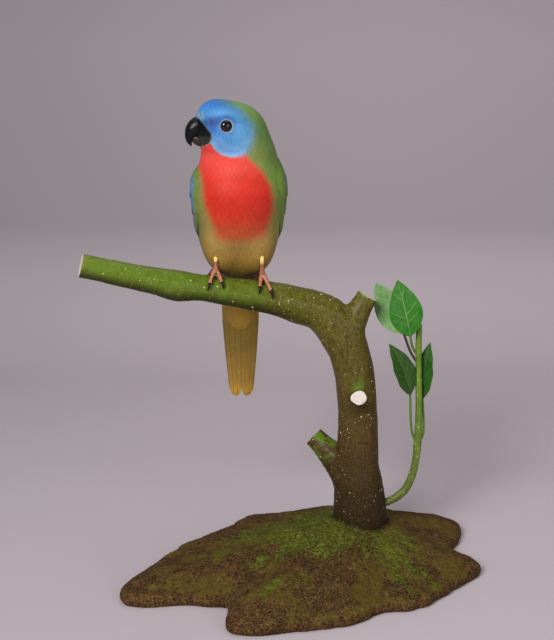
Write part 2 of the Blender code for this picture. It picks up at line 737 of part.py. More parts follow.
def stem_line():
    """Middle line of the stem: out of the trunk, up in a bend, then straight, with radius."""
    middle = trunk_at(STEM_FOOT_HEIGHT)
    start = middle[0] + middle[3]
    width = STEM_STANDOFF - start
    rise = STEM_TOP_HEIGHT - STEM_FOOT_HEIGHT
    stations = []
    for across, up in STEM_FORM:
        radius = STEM_DIAMETER / 2 + (STEM_TIP_DIAMETER - STEM_DIAMETER) / 2 * max(0.0, up)
        knot = 0.15 * radius * math.exp(-(((up - STEM_KNOT) / 0.03) ** 2))
        back = 0.43 * STEM_DIAMETER * np.clip(across, 0, 1)
        stations.append((start + across * width, back, STEM_FOOT_HEIGHT + up * rise, radius + knot))
    return stations


def stem_bore_line():
    """The bore in the trunk's side that the stem's foot sits in."""
    first, second = (np.array(p[:3]) for p in stem_line()[:2])
    direction = unit(second - first)
    radius = STEM_DIAMETER / 2 + GAP
    return [(*(first - direction * (STEM_BORE_DEPTH - 2 + GAP)), radius), (*(second + direction * 8), radius)]


def stem_at(share):
    """A place on the stem's middle line, by share of its height."""
    line = smooth_path(stem_line(), 200)
    height = STEM_FOOT_HEIGHT + share * (STEM_TOP_HEIGHT - STEM_FOOT_HEIGHT)
    return np.array([np.interp(height, line[:, 2], line[:, k]) for k in range(4)])


def stalk_line(leaf, inset=0.0):
    """A leaf's stalk from its foot in the stem to the blade."""
    _, share, side, end, _, _, _, _ = leaf
    root = stem_at(share)
    start = root[:3] + np.array([side * (root[3] - STALK_BORE_DEPTH + GAP), 0, 0])
    elbow = root[:3] + np.array([side * (root[3] + 0.9), 0.25 * end[1], 3.2])
    finish = root[:3] + np.array(end)
    low = elbow + 0.35 * (finish - elbow) + np.array([side * 0.6, 0, 0])
    return [(*p, STALK_DIAMETER / 2 + inset) for p in (start, elbow, low, finish)]


def leaf_shape(leaf):
    """A pointed oval blade, folded a little along its midrib and bent along its length."""
    _, share, _, end, tip, width, face, bend = leaf
    root = stem_at(share)[:3]
    base, tip = root + np.array(end), root + np.array(tip)
    length = np.linalg.norm(tip - base)
    along = unit(tip - base)
    base = base - along * 0.8
    normal = unit(np.array(face, float) - along * np.dot(face, along))
    across = np.cross(along, normal)
    rows = (0.0, 0.08, 0.2, 0.36, 0.54, 0.72, 0.88, 1.0)
    columns = (-1, -0.5, 0, 0.5, 1)
    top, under = [], []
    for row in rows:
        half = max(0.7 * (1 - row), width / 2 * math.sin(math.pi * row**0.82) ** 0.85 if 0 < row < 1 else 0)
        half = max(half, 0.35)
        lift = bend * math.sin(math.pi * row)
        spine = base + along * length * row + normal * lift
        thick = LEAF_THICKNESS / 2 * (1.15 - 0.3 * row)
        points = [spine + across * half * c + normal * LEAF_FOLD * half * abs(c) for c in columns]
        edge = [thick * (1 - 0.35 * abs(c)) + (0.35 if c == 0 else 0) for c in columns]
        top.append([p + normal * e for p, e in zip(points, edge)])
        under.append([p - normal * e for p, e in zip(points, edge)])
    return sheet_solid(np.array(top), np.array(under))


def make_sprig():
    stem_path = smooth_path(stem_line(), 26)
    first, second = stem_path[0, :3], stem_path[1, :3]
    foot = first - unit(second - first) * (STEM_BORE_DEPTH - 2)
    stem_path = np.vstack([[*foot, stem_path[0, 3]], stem_path])
    stem_shape = tube(stem_path, 9, hint=(0, 1, 0))
    stem = add_object("sprig_stem", stem_shape, paint("stem", (0.16, 0.3, 0.02), 0.45))
    leaves = []
    for leaf in LEAVES:
        bore = smooth_path(stalk_line(leaf, GAP), 7)
        bore[0, :3] -= unit(bore[1, :3] - bore[0, :3]) * GAP
        combine(stem, add_object("stalk_bore", tube(bore, 6, hint=(0, 1, 0))), "DIFFERENCE")
        made = add_object(leaf[0], leaf_shape(leaf), paint(leaf[0] + "_green", (0.04, 0.22, 0.03), 0.4))
        stalk = tube(smooth_path(stalk_line(leaf), 7), 6, hint=(0, 1, 0))
        combine(made, add_object("stalk", stalk), "UNION")
        leaves.append(made)
    return [stem, *leaves]


def centre_over_origin(parts):
    """Moves every mesh alike, so that the middle of the whole box is over the origin."""
    corners = np.array([v.co for obj in parts for v in obj.data.vertices])
    low, high = corners.min(axis=0), corners.max(axis=0)
    shift = Vector((-(low[0] + high[0]) / 2, -(low[1] + high[1]) / 2, -low[2]))
    for obj in parts:
        for vertex in obj.data.vertices:
            vertex.co += shift


def main():
    clear_scene()
    parts = [make_base(), make_branch(), make_bird()]
    for name, side in (("left", 1), ("right", -1)):
        glass = paint("eye_" + name + "_glass", (0.01, 0.006, 0.004), 0.05)
        parts.append(add_object("eye_" + name, eye_shape(side, 0.0), glass))
        parts.append(make_foot("foot_" + name, side))
    parts += make_sprig()
    centre_over_origin(parts)


main()
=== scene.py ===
# Looks of a carved and painted parakeet on its branch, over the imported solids.
import itertools
import json
import math

import bmesh
import bpy
import numpy as np
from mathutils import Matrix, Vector, noise


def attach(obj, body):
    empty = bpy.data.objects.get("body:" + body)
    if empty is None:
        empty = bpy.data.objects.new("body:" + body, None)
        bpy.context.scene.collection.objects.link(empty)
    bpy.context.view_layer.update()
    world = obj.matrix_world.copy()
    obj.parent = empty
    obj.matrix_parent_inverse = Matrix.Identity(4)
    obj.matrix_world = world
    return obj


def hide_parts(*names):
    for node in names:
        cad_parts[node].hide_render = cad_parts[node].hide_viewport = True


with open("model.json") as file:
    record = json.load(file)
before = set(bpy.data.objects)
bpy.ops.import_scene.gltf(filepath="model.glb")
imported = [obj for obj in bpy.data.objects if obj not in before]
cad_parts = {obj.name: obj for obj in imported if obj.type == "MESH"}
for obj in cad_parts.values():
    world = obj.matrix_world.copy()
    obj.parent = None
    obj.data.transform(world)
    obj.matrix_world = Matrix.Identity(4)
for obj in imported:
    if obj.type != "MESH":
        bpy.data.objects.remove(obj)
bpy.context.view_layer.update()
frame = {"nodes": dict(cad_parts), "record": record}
trunkFoot = np.array(frame["record"]["mounts"][0]["pos_m"])  # the shapes below are drawn from here
mm = 0.001
print("frame loaded,", len(frame["nodes"]), "nodes")


# Colours are written as they look on screen, 0 to 255.
def shade(red, green, blue):
    parts = [v / 255 for v in (red, green, blue)]
    return tuple(v / 12.92 if v <= 0.04045 else ((v + 0.055) / 1.055) ** 2.4 for v in parts)


def unit(vectors):
    return vectors / np.linalg.norm(vectors, axis=-1, keepdims=True)


def ease(value, low, high):
    share = np.clip((value - low) / (high - low), 0, 1)
    return share * share * (3 - 2 * share)


# A round hill of 1 at the middle that falls away by the spread.
def hill(value, middle, spread):
    return np.exp(-(((value - middle) / spread) ** 2))


# The same in space, with a spread along each axis.
def hillAround(points, middle, spread):
    return np.exp(-(((points - middle) / spread) ** 2).sum(-1))


# Smooth noise from about -1 to 1, one swell every size, the same on every run.
def softNoise(points, size, seed=0):
    scaled = np.asarray(points, float) / size
    cell = np.floor(scaled).astype(np.int64)
    part = scaled - cell
    fade = part**3 * (part * (part * 6 - 15) + 10)
    total = np.zeros(scaled.shape[:-1])
    for corner in itertools.product((0, 1), repeat=3):
        at = cell + np.array(corner)
        mixed = (at[..., 0] * 73856093) ^ (at[..., 1] * 19349663) ^ (at[..., 2] * 83492791) ^ (seed * 40503)
        mixed = ((mixed ^ (mixed >> 13)) * 1274126177) & 0xFFFFFFFF
        value = ((mixed ^ (mixed >> 15)) & 0xFFFF) / 32767.5 - 1
        total += value * np.prod(np.where(corner, fade, 1 - fade), axis=-1)
    return total


def smoothPath(stations, count):
    knots = np.asarray(stations, float)
    knots = np.vstack([2 * knots[0] - knots[1], knots, 2 * knots[-1] - knots[-2]])
    share = np.linspace(0, 1, 24, endpoint=False)[:, None]
    runs = []
    for a, b, c, d in zip(knots, knots[1:], knots[2:], knots[3:]):
        bend = (2 * a - 5 * b + 4 * c - d) * share**2 + (3 * b - a - 3 * c + d) * share**3
        runs.append(b + 0.5 * ((c - a) * share + bend))
    fine = np.vstack([*runs, knots[-2:-1]])
    along = np.concatenate([[0], np.cumsum(np.linalg.norm(np.diff(fine[:, :3], axis=0), axis=1))])
    even = np.linspace(0, along[-1], count)
    return np.stack([np.interp(even, along, column) for column in fine.T], axis=1)


# A shape is a dictionary with points in millimetres, faces, and values for each point.
# The two drawn values serve the drawing only and don't go onto the mesh.
def tube(path, sides, hint=(0, 0, 1)):
    path = np.asarray(path, float)
    tangents = unit(np.gradient(path[:, :3], axis=0))
    across = np.zeros_like(tangents)
    side = np.cross(tangents[0], hint)
    for i, tangent in enumerate(tangents):
        side = side - tangent * side.dot(tangent)
        across[i] = side = side / np.linalg.norm(side)
    up = np.cross(across, tangents)
    angles = np.linspace(0, 2 * math.pi, sides, endpoint=False)
    rings = (
        path[:, None, :3]
        + (path[:, -1:] * np.cos(angles))[..., None] * across[:, None]
        + (path[:, 3:4] * np.sin(angles))[..., None] * up[:, None]
    )
    faces = ringFaces(len(path), sides)
    last = (len(path) - 1) * sides
    faces += [list(range(sides))[::-1], list(range(last, last + sides))]
    share = np.repeat(np.linspace(0, 1, len(path)), sides)
    drawn = {"drawnShare": share, "drawnTurn": np.tile(angles, len(path))}
    return {"points": rings.reshape(-1, 3), "faces": faces, **drawn}


def ringFaces(rings, sides):
    faces = []
    for i in range(rings - 1):
        for j in range(sides):
            k = (j + 1) % sides
            faces.append([i * sides + j, i * sides + k, (i + 1) * sides + k, (i + 1) * sides + j])
    return faces


# Triangles that close the first ring with one point and the last ring with another.
def capFaces(sides, firstPoint, last, lastPoint, inwards=False):
    faces = []
    for j in range(sides):
        k = (j + 1) % sides
        a, b = (j, k) if inwards else (k, j)
        faces += [[firstPoint, a, b], [lastPoint, last + b, last + a]]
    return faces


def sheetSolid(outer, inner):
    rows, columns = outer.shape[:2]
    count = rows * columns
    faces = []
    for i in range(rows - 1):
        for j in range(columns - 1):
            quad = [i * columns + j, i * columns + j + 1, (i + 1) * columns + j + 1, (i + 1) * columns + j]
            faces += [quad, [count + k for k in reversed(quad)]]
    rim = list(range(columns)) + [i * columns + columns - 1 for i in range(1, rows)]
    rim += [(rows - 1) * columns + j for j in range(columns - 2, -1, -1)]
    rim += [i * columns for i in range(rows - 2, 0, -1)]
    faces += [[a, b, count + b, count + a] for a, b in zip(rim, rim[1:] + rim[:1])]
    return {"points": np.concatenate([outer.reshape(-1, 3), inner.reshape(-1, 3)]), "faces": faces}


def joined(shapes):
    names = sorted({key for shape in shapes for key in shape} - {"faces"})
    whole = {"faces": []}
    start = 0
    for shape in shapes:
        whole["faces"] += [[start + k for k in face] for face in shape["faces"]]
        start += len(shape["points"])
    for name in names:
        sample = next(np.asarray(s[name]) for s in shapes if name in s)
        blank = [np.zeros((len(s["points"]), *sample.shape[1:])) for s in shapes]
        whole[name] = np.concatenate([np.asarray(s.get(name, b), float) for s, b in zip(shapes, blank)])
    return whole


# Millimetres from the trunk's foot, and back.
def toScene(points):
    return np.asarray(points) * mm + trunkFoot


def meshPoints(mesh):
    points = np.empty(len(mesh.vertices) * 3)
    mesh.vertices.foreach_get("co", points)
    return (points.reshape(-1, 3) - trunkFoot) / mm


def writeValues(mesh, values):
    for key, value in values.items():
        value = np.asarray(value, np.float32)
        if value.ndim == 1:
            mesh.attributes.new(key, "FLOAT", "POINT").data.foreach_set("value", value)
        elif key.endswith("Paint"):
            value = np.column_stack([value, np.ones(len(value), np.float32)])
            mesh.attributes.new(key, "FLOAT_COLOR", "POINT").data.foreach_set("color", value.ravel())
        else:
            mesh.attributes.new(key, "FLOAT_VECTOR", "POINT").data.foreach_set("vector", value.ravel())


def dressed(mesh, material, crease=None):
    mesh.materials.clear()
    mesh.materials.append(material)
    mesh.shade_smooth()
    if crease:
        mesh.set_sharp_from_angle(angle=math.radians(crease))
    return mesh


def linked(name, data):
    obj = bpy.data.objects.new(name, data)
    bpy.context.scene.collection.objects.link(obj)
    return obj


def finishedMesh(obj):
    return bpy.data.meshes.new_from_object(obj.evaluated_get(bpy.context.evaluated_depsgraph_get()))


def addMesh(name, shape, material, crease=None):
    mesh = bpy.data.meshes.new(name)
    mesh.from_pydata(toScene(shape["points"]).tolist(), [], shape["faces"])
    work = bmesh.new()
    work.from_mesh(mesh)
    bmesh.ops.recalc_face_normals(work, faces=work.faces)
    work.to_mesh(mesh)
    work.free()
    skipped = {"points", "faces", "drawnShare", "drawnTurn"}
    writeValues(mesh, {key: shape[key] for key in shape if key not in skipped})
    return linked(name, dressed(mesh, material, crease))


def keep(obj, slot, *nodes):
    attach(obj, "root")
    if nodes:
        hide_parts(*nodes)
    return obj


# A node tree with short calls for its nodes and links.
class Wiring:
    def __init__(self, tree):
        self.tree = tree

    def add(self, kind, inputs=None, **settings):
        node = self.tree.nodes.new(kind)
        for key, value in settings.items():
            setattr(node, key, value)
        for key, value in (inputs or {}).items():
            self.plug(node.inputs[key], value)
        return node

    def plug(self, socket, value):
        if isinstance(value, bpy.types.NodeSocket):
            self.tree.links.new(value, socket)
        elif hasattr(value, "__len__") and len(value) == 3 and socket.type == "RGBA":
            socket.default_value = (*value, 1.0)
        else:
            socket.default_value = value


# One finish: a node tree that ends in the Principled shader.
class Finish(Wiring):
    def __init__(self, name, **settings):
        self.material = bpy.data.materials.new(name)
        self.material.use_nodes = True
        super().__init__(self.material.node_tree)
        self.shader = self.tree.nodes["Principled BSDF"]
        self.place = self.add("ShaderNodeTexCoord").outputs["Object"]
        for key, value in settings.items():
            self.shader.inputs[key.replace("_", " ")].default_value = value

    def sums(self, operation, a, b=0.0, c=0.0, clamp=False):
        return self.add("ShaderNodeMath", {0: a, 1: b, 2: c}, operation=operation, use_clamp=clamp).outputs[0]

    def times(self, a, b):
        return self.sums("MULTIPLY", a, b)

    def scaled(self, value, by, plus, clamp=False):
        return self.sums("MULTIPLY_ADD", value, by, plus, clamp)

    def blend(self, share, a, b, mode="MIX"):
        return self.add("ShaderNodeMix", {0: share, 6: a, 7: b}, data_type="RGBA", blend_type=mode).outputs[2]

    def step(self, value, low, high, first=0.0, last=1.0):
        inputs = {0: value, 1: low, 2: high, 3: first, 4: last}
        return self.add("ShaderNodeMapRange", inputs, interpolation_type="SMOOTHSTEP").outputs[0]

    def grain(self, size, detail=2.0, rough=0.5, place=None, stretch=(1, 1, 1), twist=0.0):
        place = place or self.place
        if stretch != (1, 1, 1):
            place = self.add("ShaderNodeMapping", {0: place, "Scale": stretch}).outputs[0]
        inputs = {"Vector": place, "Scale": 1 / size, "Detail": detail, "Roughness": rough, "Distortion": twist}
        return self.add("ShaderNodeTexNoise", inputs).outputs[0]

    # what the mesh carries under that name, as "Fac", "Vector" or "Color"
    def read(self, name, kind="Fac"):
        return self.add("ShaderNodeAttribute", attribute_name=name).outputs[kind]

    def ramp(self, value, *stops):
        node = self.add("ShaderNodeValToRGB", {0: value})
        while len(node.color_ramp.elements) < len(stops):
            node.color_ramp.elements.new(0.5)
        for element, (at, *colour) in zip(node.color_ramp.elements, stops):
            element.position = at
            element.color = (*colour, 1.0)
        return node.outputs[0]

    # the same with colours as they look on screen
    def paints(self, value, *stops):
        return self.ramp(value, *((at, *shade(*tone)) for at, *tone in stops))

    # lighter and darker places, as shares of what lies under them
    def toned(self, under, value, *stops, share=1.0):
        return self.blend(share, under, self.ramp(value, *stops), "MULTIPLY")

    def bump(self, height, strength, deep):
        inputs = {"Height": height, "Strength": strength, "Distance": deep * mm}
        return self.add("ShaderNodeBump", inputs).outputs[0]

    def done(self, colour, rough=None, normal=None):
        for name, value in (("Base Color", colour), ("Roughness", rough), ("Normal", normal)):
            if value is not None:
                self.plug(self.shader.inputs[name], value)
        return self.material


# Geometry Nodes that set small bodies on a mesh; the last of them go to the one output.
class Grower(Wiring):
    def __init__(self, name, inputs, output):
        super().__init__(bpy.data.node_groups.new(name, "GeometryNodeTree"))
        socket = self.tree.interface.new_socket
        self.identifiers = {
            key: socket(name=key, in_out="INPUT", socket_type="NodeSocket" + kind).identifier
            for key, kind in inputs.items()
        }
        socket(name=output, in_out="OUTPUT", socket_type="NodeSocketGeometry")
        self.given = self.add("NodeGroupInput").outputs

    def finish(self, instances, material):
        real = self.add("GeometryNodeRealizeInstances", {0: instances}).outputs[0]
        painted = self.add("GeometryNodeSetMaterial", {"Geometry": real, "Material": material}).outputs[0]
        self.add("NodeGroupOutput", {0: painted})

    # The mesh that grows on an object. The modifier and the tree are gone afterwards.
    def grown(self, obj, values, material):
        modifier = obj.modifiers.new("Grow", "NODES")
        modifier.node_group = self.tree
        for key, value in values.items():
            modifier[self.identifiers[key]] = value
        obj.update_tag()
        mesh = finishedMesh(obj)
        obj.modifiers.remove(modifier)
        bpy.data.node_groups.remove(self.tree)
        return dressed(mesh, material)


# Branch, with the lines that the bird and the sprig also need

trunkLook = {"diameter": 24.0, "rise": 148.0, "socketFloor": 8.0}
armLook = {"diameter": 18.0, "reach": 151.7}
trunkForm = (
    (0.0, 0.0, 1.5), (-0.001, 0.08, 1.49), (-0.006, 0.22, 1.38), (-0.018, 0.30, 1.24),
    (-0.016, 0.39, 1.15), (-0.016, 0.54, 1.06), (-0.022, 0.65, 1.05), (-0.032, 0.74, 1.06),
    (-0.046, 0.82, 1.06), (-0.077, 0.91, 1.09), (-0.131, 0.997, 1.13),
)
armForm = (
    (0.064, 0.010, 0.050, 1.35), (0.139, 0.036, 0.076, 1.28), (0.237, 0.076, 0.113, 1.15),
    (0.383, 0.105, 0.142, 1.0), (0.534, 0.132, 0.169, 0.9), (0.629, 0.155, 0.182, 1.06),
    (0.717, 0.176, 0.205, 0.92), (0.813, 0.198, 0.229, 0.86), (0.936, 0.224, 0.261, 0.79),
    (1.0, 0.239, 0.278, 0.785),
)
# Side branches: height on the trunk, direction, root flare, diameter, length.
stubs = (
    (0.93, (0.5, 0, 0.87), 0.96, 13.0, 31.0),
    (0.29, (-0.73, 0.26, 0.66), 1.0, 13.2, 39.4),
    (0.66, (0, -0.96, 0.28), 0.5, 9.3, 21.0),
)


def branchLine():
    rise, floor = trunkLook["rise"], trunkLook["socketFloor"]
    trunk = [
        (sway * rise, 0.0, floor + up * rise, girth * trunkLook["diameter"] / 2)
        for sway, up, girth in trunkForm
    ]
    x, y, z, _ = trunk[-1]
    reach, radius = armLook["reach"], armLook["diameter"] / 2
    arm = [
        (x - out * reach, y - forward * reach, z + up * reach, girth * radius)
        for out, forward, up, girth in armForm
    ]
    return np.array(trunk + arm)


trunkLine = smoothPath(branchLine()[: len(trunkForm)], 60)
armLine = smoothPath(branchLine()[len(trunkForm) - 1 :], 120)[::-1]
armSlopes = np.gradient(armLine[:, :3], axis=0)


def trunkAt(height):
    return np.array([np.interp(height, trunkLine[:, 2], trunkLine[:, k]) for k in range(4)])


def armAt(x):
    here = np.array([np.interp(x, armLine[:, 0], armLine[:, k]) for k in range(4)])
    along = unit(np.array([np.interp(x, armLine[:, 0], armSlopes[:, k]) for k in range(3)]))
    up = unit(np.array([0, 0, 1.0]) - along * along[2])
    return here[:3], here[3], along, up, np.cross(along, up)


def stubLine(stub, extra=0.0):
    rise, direction, rootShare, diameter, length = stub
    middle = trunkAt(trunkLook["socketFloor"] + rise * trunkLook["rise"])
    direction = unit(np.array(direction, float))
    path = []
    for share in np.linspace(0, 1, 10):
        flare = (1 - min(1.0, share / 0.9)) ** 1.5
        radius = diameter / 2 + flare * (rootShare * middle[3] - diameter / 2)
        path.append((*(middle[:3] + direction * (length + extra) * share), radius))
    return np.array(path)


# How far points are outside a line that has a radius at each station.
def lineDepth(points, line):
    found = np.full(len(points), 1e9)
    share = np.zeros(len(points))
    for i, (a, b) in enumerate(zip(line, line[1:])):
        run = b[:3] - a[:3]
        at = np.clip((points - a[:3]) @ run / run.dot(run), 0, 1)
        gap = np.linalg.norm(points - a[:3] - at[:, None] * run, axis=1) - (a[3] + at * (b[3] - a[3]))
        share = np.where(gap < found, (i + at) / (len(line) - 1), share)
        found = np.minimum(found, gap)
    return found, share


branchLook = {
    "voxel": 0.95,  # size of the grid that the bark is modelled on
    "joint": 3.0,  # softness where a side branch leaves the trunk
    "lumps": 0.2,
    "furrows": 0.1,
    "knob": 0.9,  # how uneven the front stub is
    "rim": 0.45,  # bark left standing round a sawn face
    "rimCut": 0.55,  # how far the cut's own colour reaches onto that rim
    "crease": 48,  # degrees
    "sides": 24,
    # where moss starts and is full along each side branch
    "moss": ((0.75, 1.0), (0.35, 0.95), (0.7, 1.0)),
    "mostMoss": 2.4,
}


def branchDepth(points):
    found, share = lineDepth(points, branchLines[0])
    for line in branchLines[1:]:
        other, _ = lineDepth(points, line)
        mix = np.clip(0.5 + 0.5 * (other - found) / branchLook["joint"], 0, 1)
        found = other + (found - other) * mix - branchLook["joint"] * mix * (1 - mix)
    return found, share


def branchGap(points):
    return branchDepth(points)[0]


def depthSlope(depth, points, step=0.15):
    parts = [depth(points + step * axis) - depth(points - step * axis) for axis in np.eye(3)]
    return unit(np.stack(parts, axis=-1))


longArm = branchLine()
longArm = np.vstack([longArm, longArm[-1] * 2 - longArm[-2]])
longArm[-1, 3] = longArm[-2, 3]
branchLines = [smoothPath(longArm, 70), *(stubLine(stub, 4.0) for stub in stubs)]


def sawEnds(mesh, ends):
    work = bmesh.new()
    work.from_mesh(mesh)
    cut = work.verts.layers.float.new("cut")
    for middle, direction, radius in ends:
        middle, direction = Vector(toScene(middle)), Vector(direction)
        # kept in the mesh's own order, so that the specks lie in the same places on every run
        near = [v for v in work.verts if (v.co - middle).length < 2.4 * radius * mm]
        close = set(near)
        geometry = near + [e for e in work.edges if close.issuperset(e.verts)]
        geometry += [f for f in work.faces if close.issuperset(f.verts)]
        sawn = bmesh.ops.bisect_plane(
            work, geom=geometry, dist=1e-7, plane_co=middle, plane_no=direction, clear_outer=True
        )
        edges = [e for e in sawn["geom_cut"] if isinstance(e, bmesh.types.BMEdge)]
        for vertex in {v for e in edges for v in e.verts}:
            vertex[cut] = branchLook["rimCut"]
        face = bmesh.ops.contextual_create(work, geom=edges)["faces"]
        bmesh.ops.inset_region(work, faces=face, thickness=branchLook["rim"] * mm)
        inner = [v for f in face for v in f.verts]
        poked = bmesh.ops.poke(work, faces=face)
        for vertex in [*inner, *poked["verts"]]:
            vertex[cut] = 1.0
    bmesh.ops.recalc_face_normals(work, faces=work.faces)
    work.to_mesh(mesh)
    work.free()


def barkFinish():
    gloss = {"Coat_Weight": 0.12, "Coat_Roughness": 0.25, "Specular_Tint": (1.0, 0.95, 0.72, 1.0)}
    bark = Finish("bark", IOR=1.45, Specular_IOR_Level=0.16, **gloss)
    along, dim = bark.read("along"), bark.read("dim")
    drift = bark.grain(0.016, 3.0, 0.6)
    wander = bark.scaled(bark.sums("SUBTRACT", drift, 0.5), 0.14, along)
    brown = bark.paints(
        wander, (0.0, 36, 27, 11), (0.1, 58, 41, 19), (0.24, 82, 60, 29), (0.38, 90, 78, 32),
        (0.5, 96, 89, 32), (0.6, 96, 91, 28), (0.72, 97, 113, 34), (1.0, 106, 122, 38),
    )
    mottle = bark.grain(0.0032, 4.0, 0.62)
    dark = bark.toned(brown, mottle, (0.3, 0.6, 0.58, 0.54), (0.65, 1.12, 1.12, 1.06))
    # thin upright strokes of darker and redder brown on the trunk
    stroke = bark.grain(0.0021, 3.0, 0.6, stretch=(1, 1, 0.22))
    strokes = bark.times(bark.step(stroke, 0.5, 0.66), bark.step(along, 0.42, 0.6, 0.5, 0.1))
    streaked = bark.blend(strokes, dark, shade(54, 34, 18))
    blotch = bark.step(bark.grain(0.009, 3.0, 0.6, twist=0.6), 0.42, 0.6)
    greened = bark.blend(bark.times(blotch, bark.read("moss")), streaked, shade(88, 116, 30))
    fine = bark.grain(0.0009, 2.0, 0.6)
    dusty = bark.blend(bark.step(fine, 0.58, 0.7, 0.0, 0.36), greened, shade(150, 140, 80))
    pits = bark.step(bark.grain(0.0014, 2.0, 0.6), 0.6, 0.7, 0.0, 0.5)
    pitted = bark.blend(pits, dusty, shade(40, 26, 10))
    # painted shade: darker under the front stub, at the trunk's foot and on the arm's underside
    shadow = bark.blend(bark.times(dim, 0.88), pitted, shade(30, 24, 10))
    woody = bark.blend(bark.grain(0.0016, 4.0, 0.6), shade(230, 222, 218), shade(196, 178, 160))
    ringed = bark.blend(bark.step(bark.read("cut"), 0.1, 0.8), shadow, woody)
    matt = bark.scaled(dim, 0.45, bark.step(along, 0.42, 0.58, 0.48, 0.2))
    rough = bark.scaled(mottle, 0.3, matt, clamp=True)
    upright = bark.scaled(stroke, 0.8, bark.scaled(fine, 0.3, mottle))
    return bark.done(ringed, rough, bark.bump(upright, 0.5, 0.4))


# Bark's relief: lumps and furrows that run with the wood. Then how much of a place is on the front stub.
def barkRelief(points):
    lumps = softNoise(points, 9.0, 3) + 0.4 * softNoise(points, 4.0, 4)
    onTrunk = points[:, :1] > -trunkLook["diameter"] / 2
    stretched = points * np.where(onTrunk, (1, 1, 0.25), (0.25, 1, 1))
    furrows = np.abs(softNoise(stretched, 1.9, 5)) ** 0.7
    wear = ease(branchDepth(points)[1], 0.0, 0.05)
    relief = branchLook["lumps"] * lumps * wear - branchLook["furrows"] * furrows
    onStub = hill(lineDepth(points, branchLines[3])[0], 0, 1.5) * ease(12 * wear - points[:, 1], 20, 24)
    return relief, onStub


# What the finish reads from the bark: place along the branch, moss, painted shade, share of grains.
def barkValues(points, cut):
    along = branchDepth(points)[1]
    # green on the arm, at the sawn stubs and over the front one
    stubMoss = []
    for line, (low, high) in zip(branchLines[1:], branchLook["moss"]):
        depth, share = lineDepth(points, line)
        stubMoss.append(branchLook["mostMoss"] * (depth < 1.2) * ease(share, low, high))
    fromRoot = points - stubLine(stubs[2])[4, :3]
    overStub = hillAround(fromRoot, (0, 0, 8.5), (5, 12, 5))
    moss = 0.75 * ease(along, 0.5, 0.72) + np.max(stubMoss, axis=0) + 0.9 * overStub
    # painted shade under the front stub, at the trunk's foot and beneath the arm
    shadowUnderStub = hillAround(fromRoot, (0, 0, -7), (6, 12, 5)) * (along < 0.7)
    foot = 0.75 * (1 - ease(points[:, 2], 18, 30)) + 0.3 * (1 - ease(points[:, 2], 30, 80))
    shadeBeneathArm = ease(-depthSlope(branchGap, points)[:, 2], -0.1, 0.8) * ease(along, 0.5, 0.62)
    # pale specks gather in bands, most of them on the bend
    gathered = ease(softNoise(points, 12.0, 6) + 1.1 * hill(along, 0.57, 0.06), -0.2, 0.9)
    return {
        "along": along,
        "moss": np.minimum(branchLook["mostMoss"], moss),
        "dim": np.minimum(1.0, 0.8 * shadowUnderStub + foot + 0.9 * shadeBeneathArm),
        "grains": (0.25 + 0.75 * gathered) * (1 - cut),
    }


def makeBranch():
    coarse = joined([tube(line, branchLook["sides"], hint=(0.1, -1, 0.2)) for line in branchLines])
    rough = addMesh("branchRough", coarse, barkFinish())
    remesh = rough.modifiers.new("Remesh", "REMESH")
    remesh.mode = "VOXEL"
    remesh.voxel_size = branchLook["voxel"] * mm
    mesh = finishedMesh(rough)
    material = rough.data.materials[0]
    bpy.data.objects.remove(rough, do_unlink=True)
    points = meshPoints(mesh)
    for _ in range(3):
        outward = depthSlope(branchGap, points)
        points -= outward * branchGap(points)[:, None]
    relief, onStub = barkRelief(points)
    points += outward * relief[:, None]
    points += outward * (branchLook["knob"] * softNoise(points * (1, 0.4, 1), 4.6, 8) * onStub)[:, None]
    mesh.vertices.foreach_set("co", toScene(points).ravel())
    arm, sawnStubs = branchLine(), [stubLine(stub) for stub in stubs]
    ends = [(arm[-1, :3], unit(arm[-1, :3] - arm[-2, :3]), arm[-1, 3])]
    ends += [(path[-1, :3], unit(path[-1, :3] - path[0, :3]), path[-1, 3]) for path in sawnStubs]
    sawEnds(mesh, ends)
    points = meshPoints(mesh)
    cut = np.empty(len(mesh.vertices), np.float32)
    mesh.attributes["cut"].data.foreach_get("value", cut)
    writeValues(mesh, barkValues(points, cut))
    # the front stub's face is stained at its lower right
    stain = hillAround(points - ends[3][0], (3.0, 0, -3.0), (3.0, 9.0, 3.0))
    mesh.attributes["cut"].data.foreach_set("value", (cut * (1 - 0.5 * stain)).astype(np.float32))
    bark = linked("branchBark", dressed(mesh, material, branchLook["crease"]))
    print("branch", len(mesh.polygons), "faces")
    return keep(bark, "bark", "branch")


# Small grains over a surface: Geometry Nodes scatter, size and turn them.

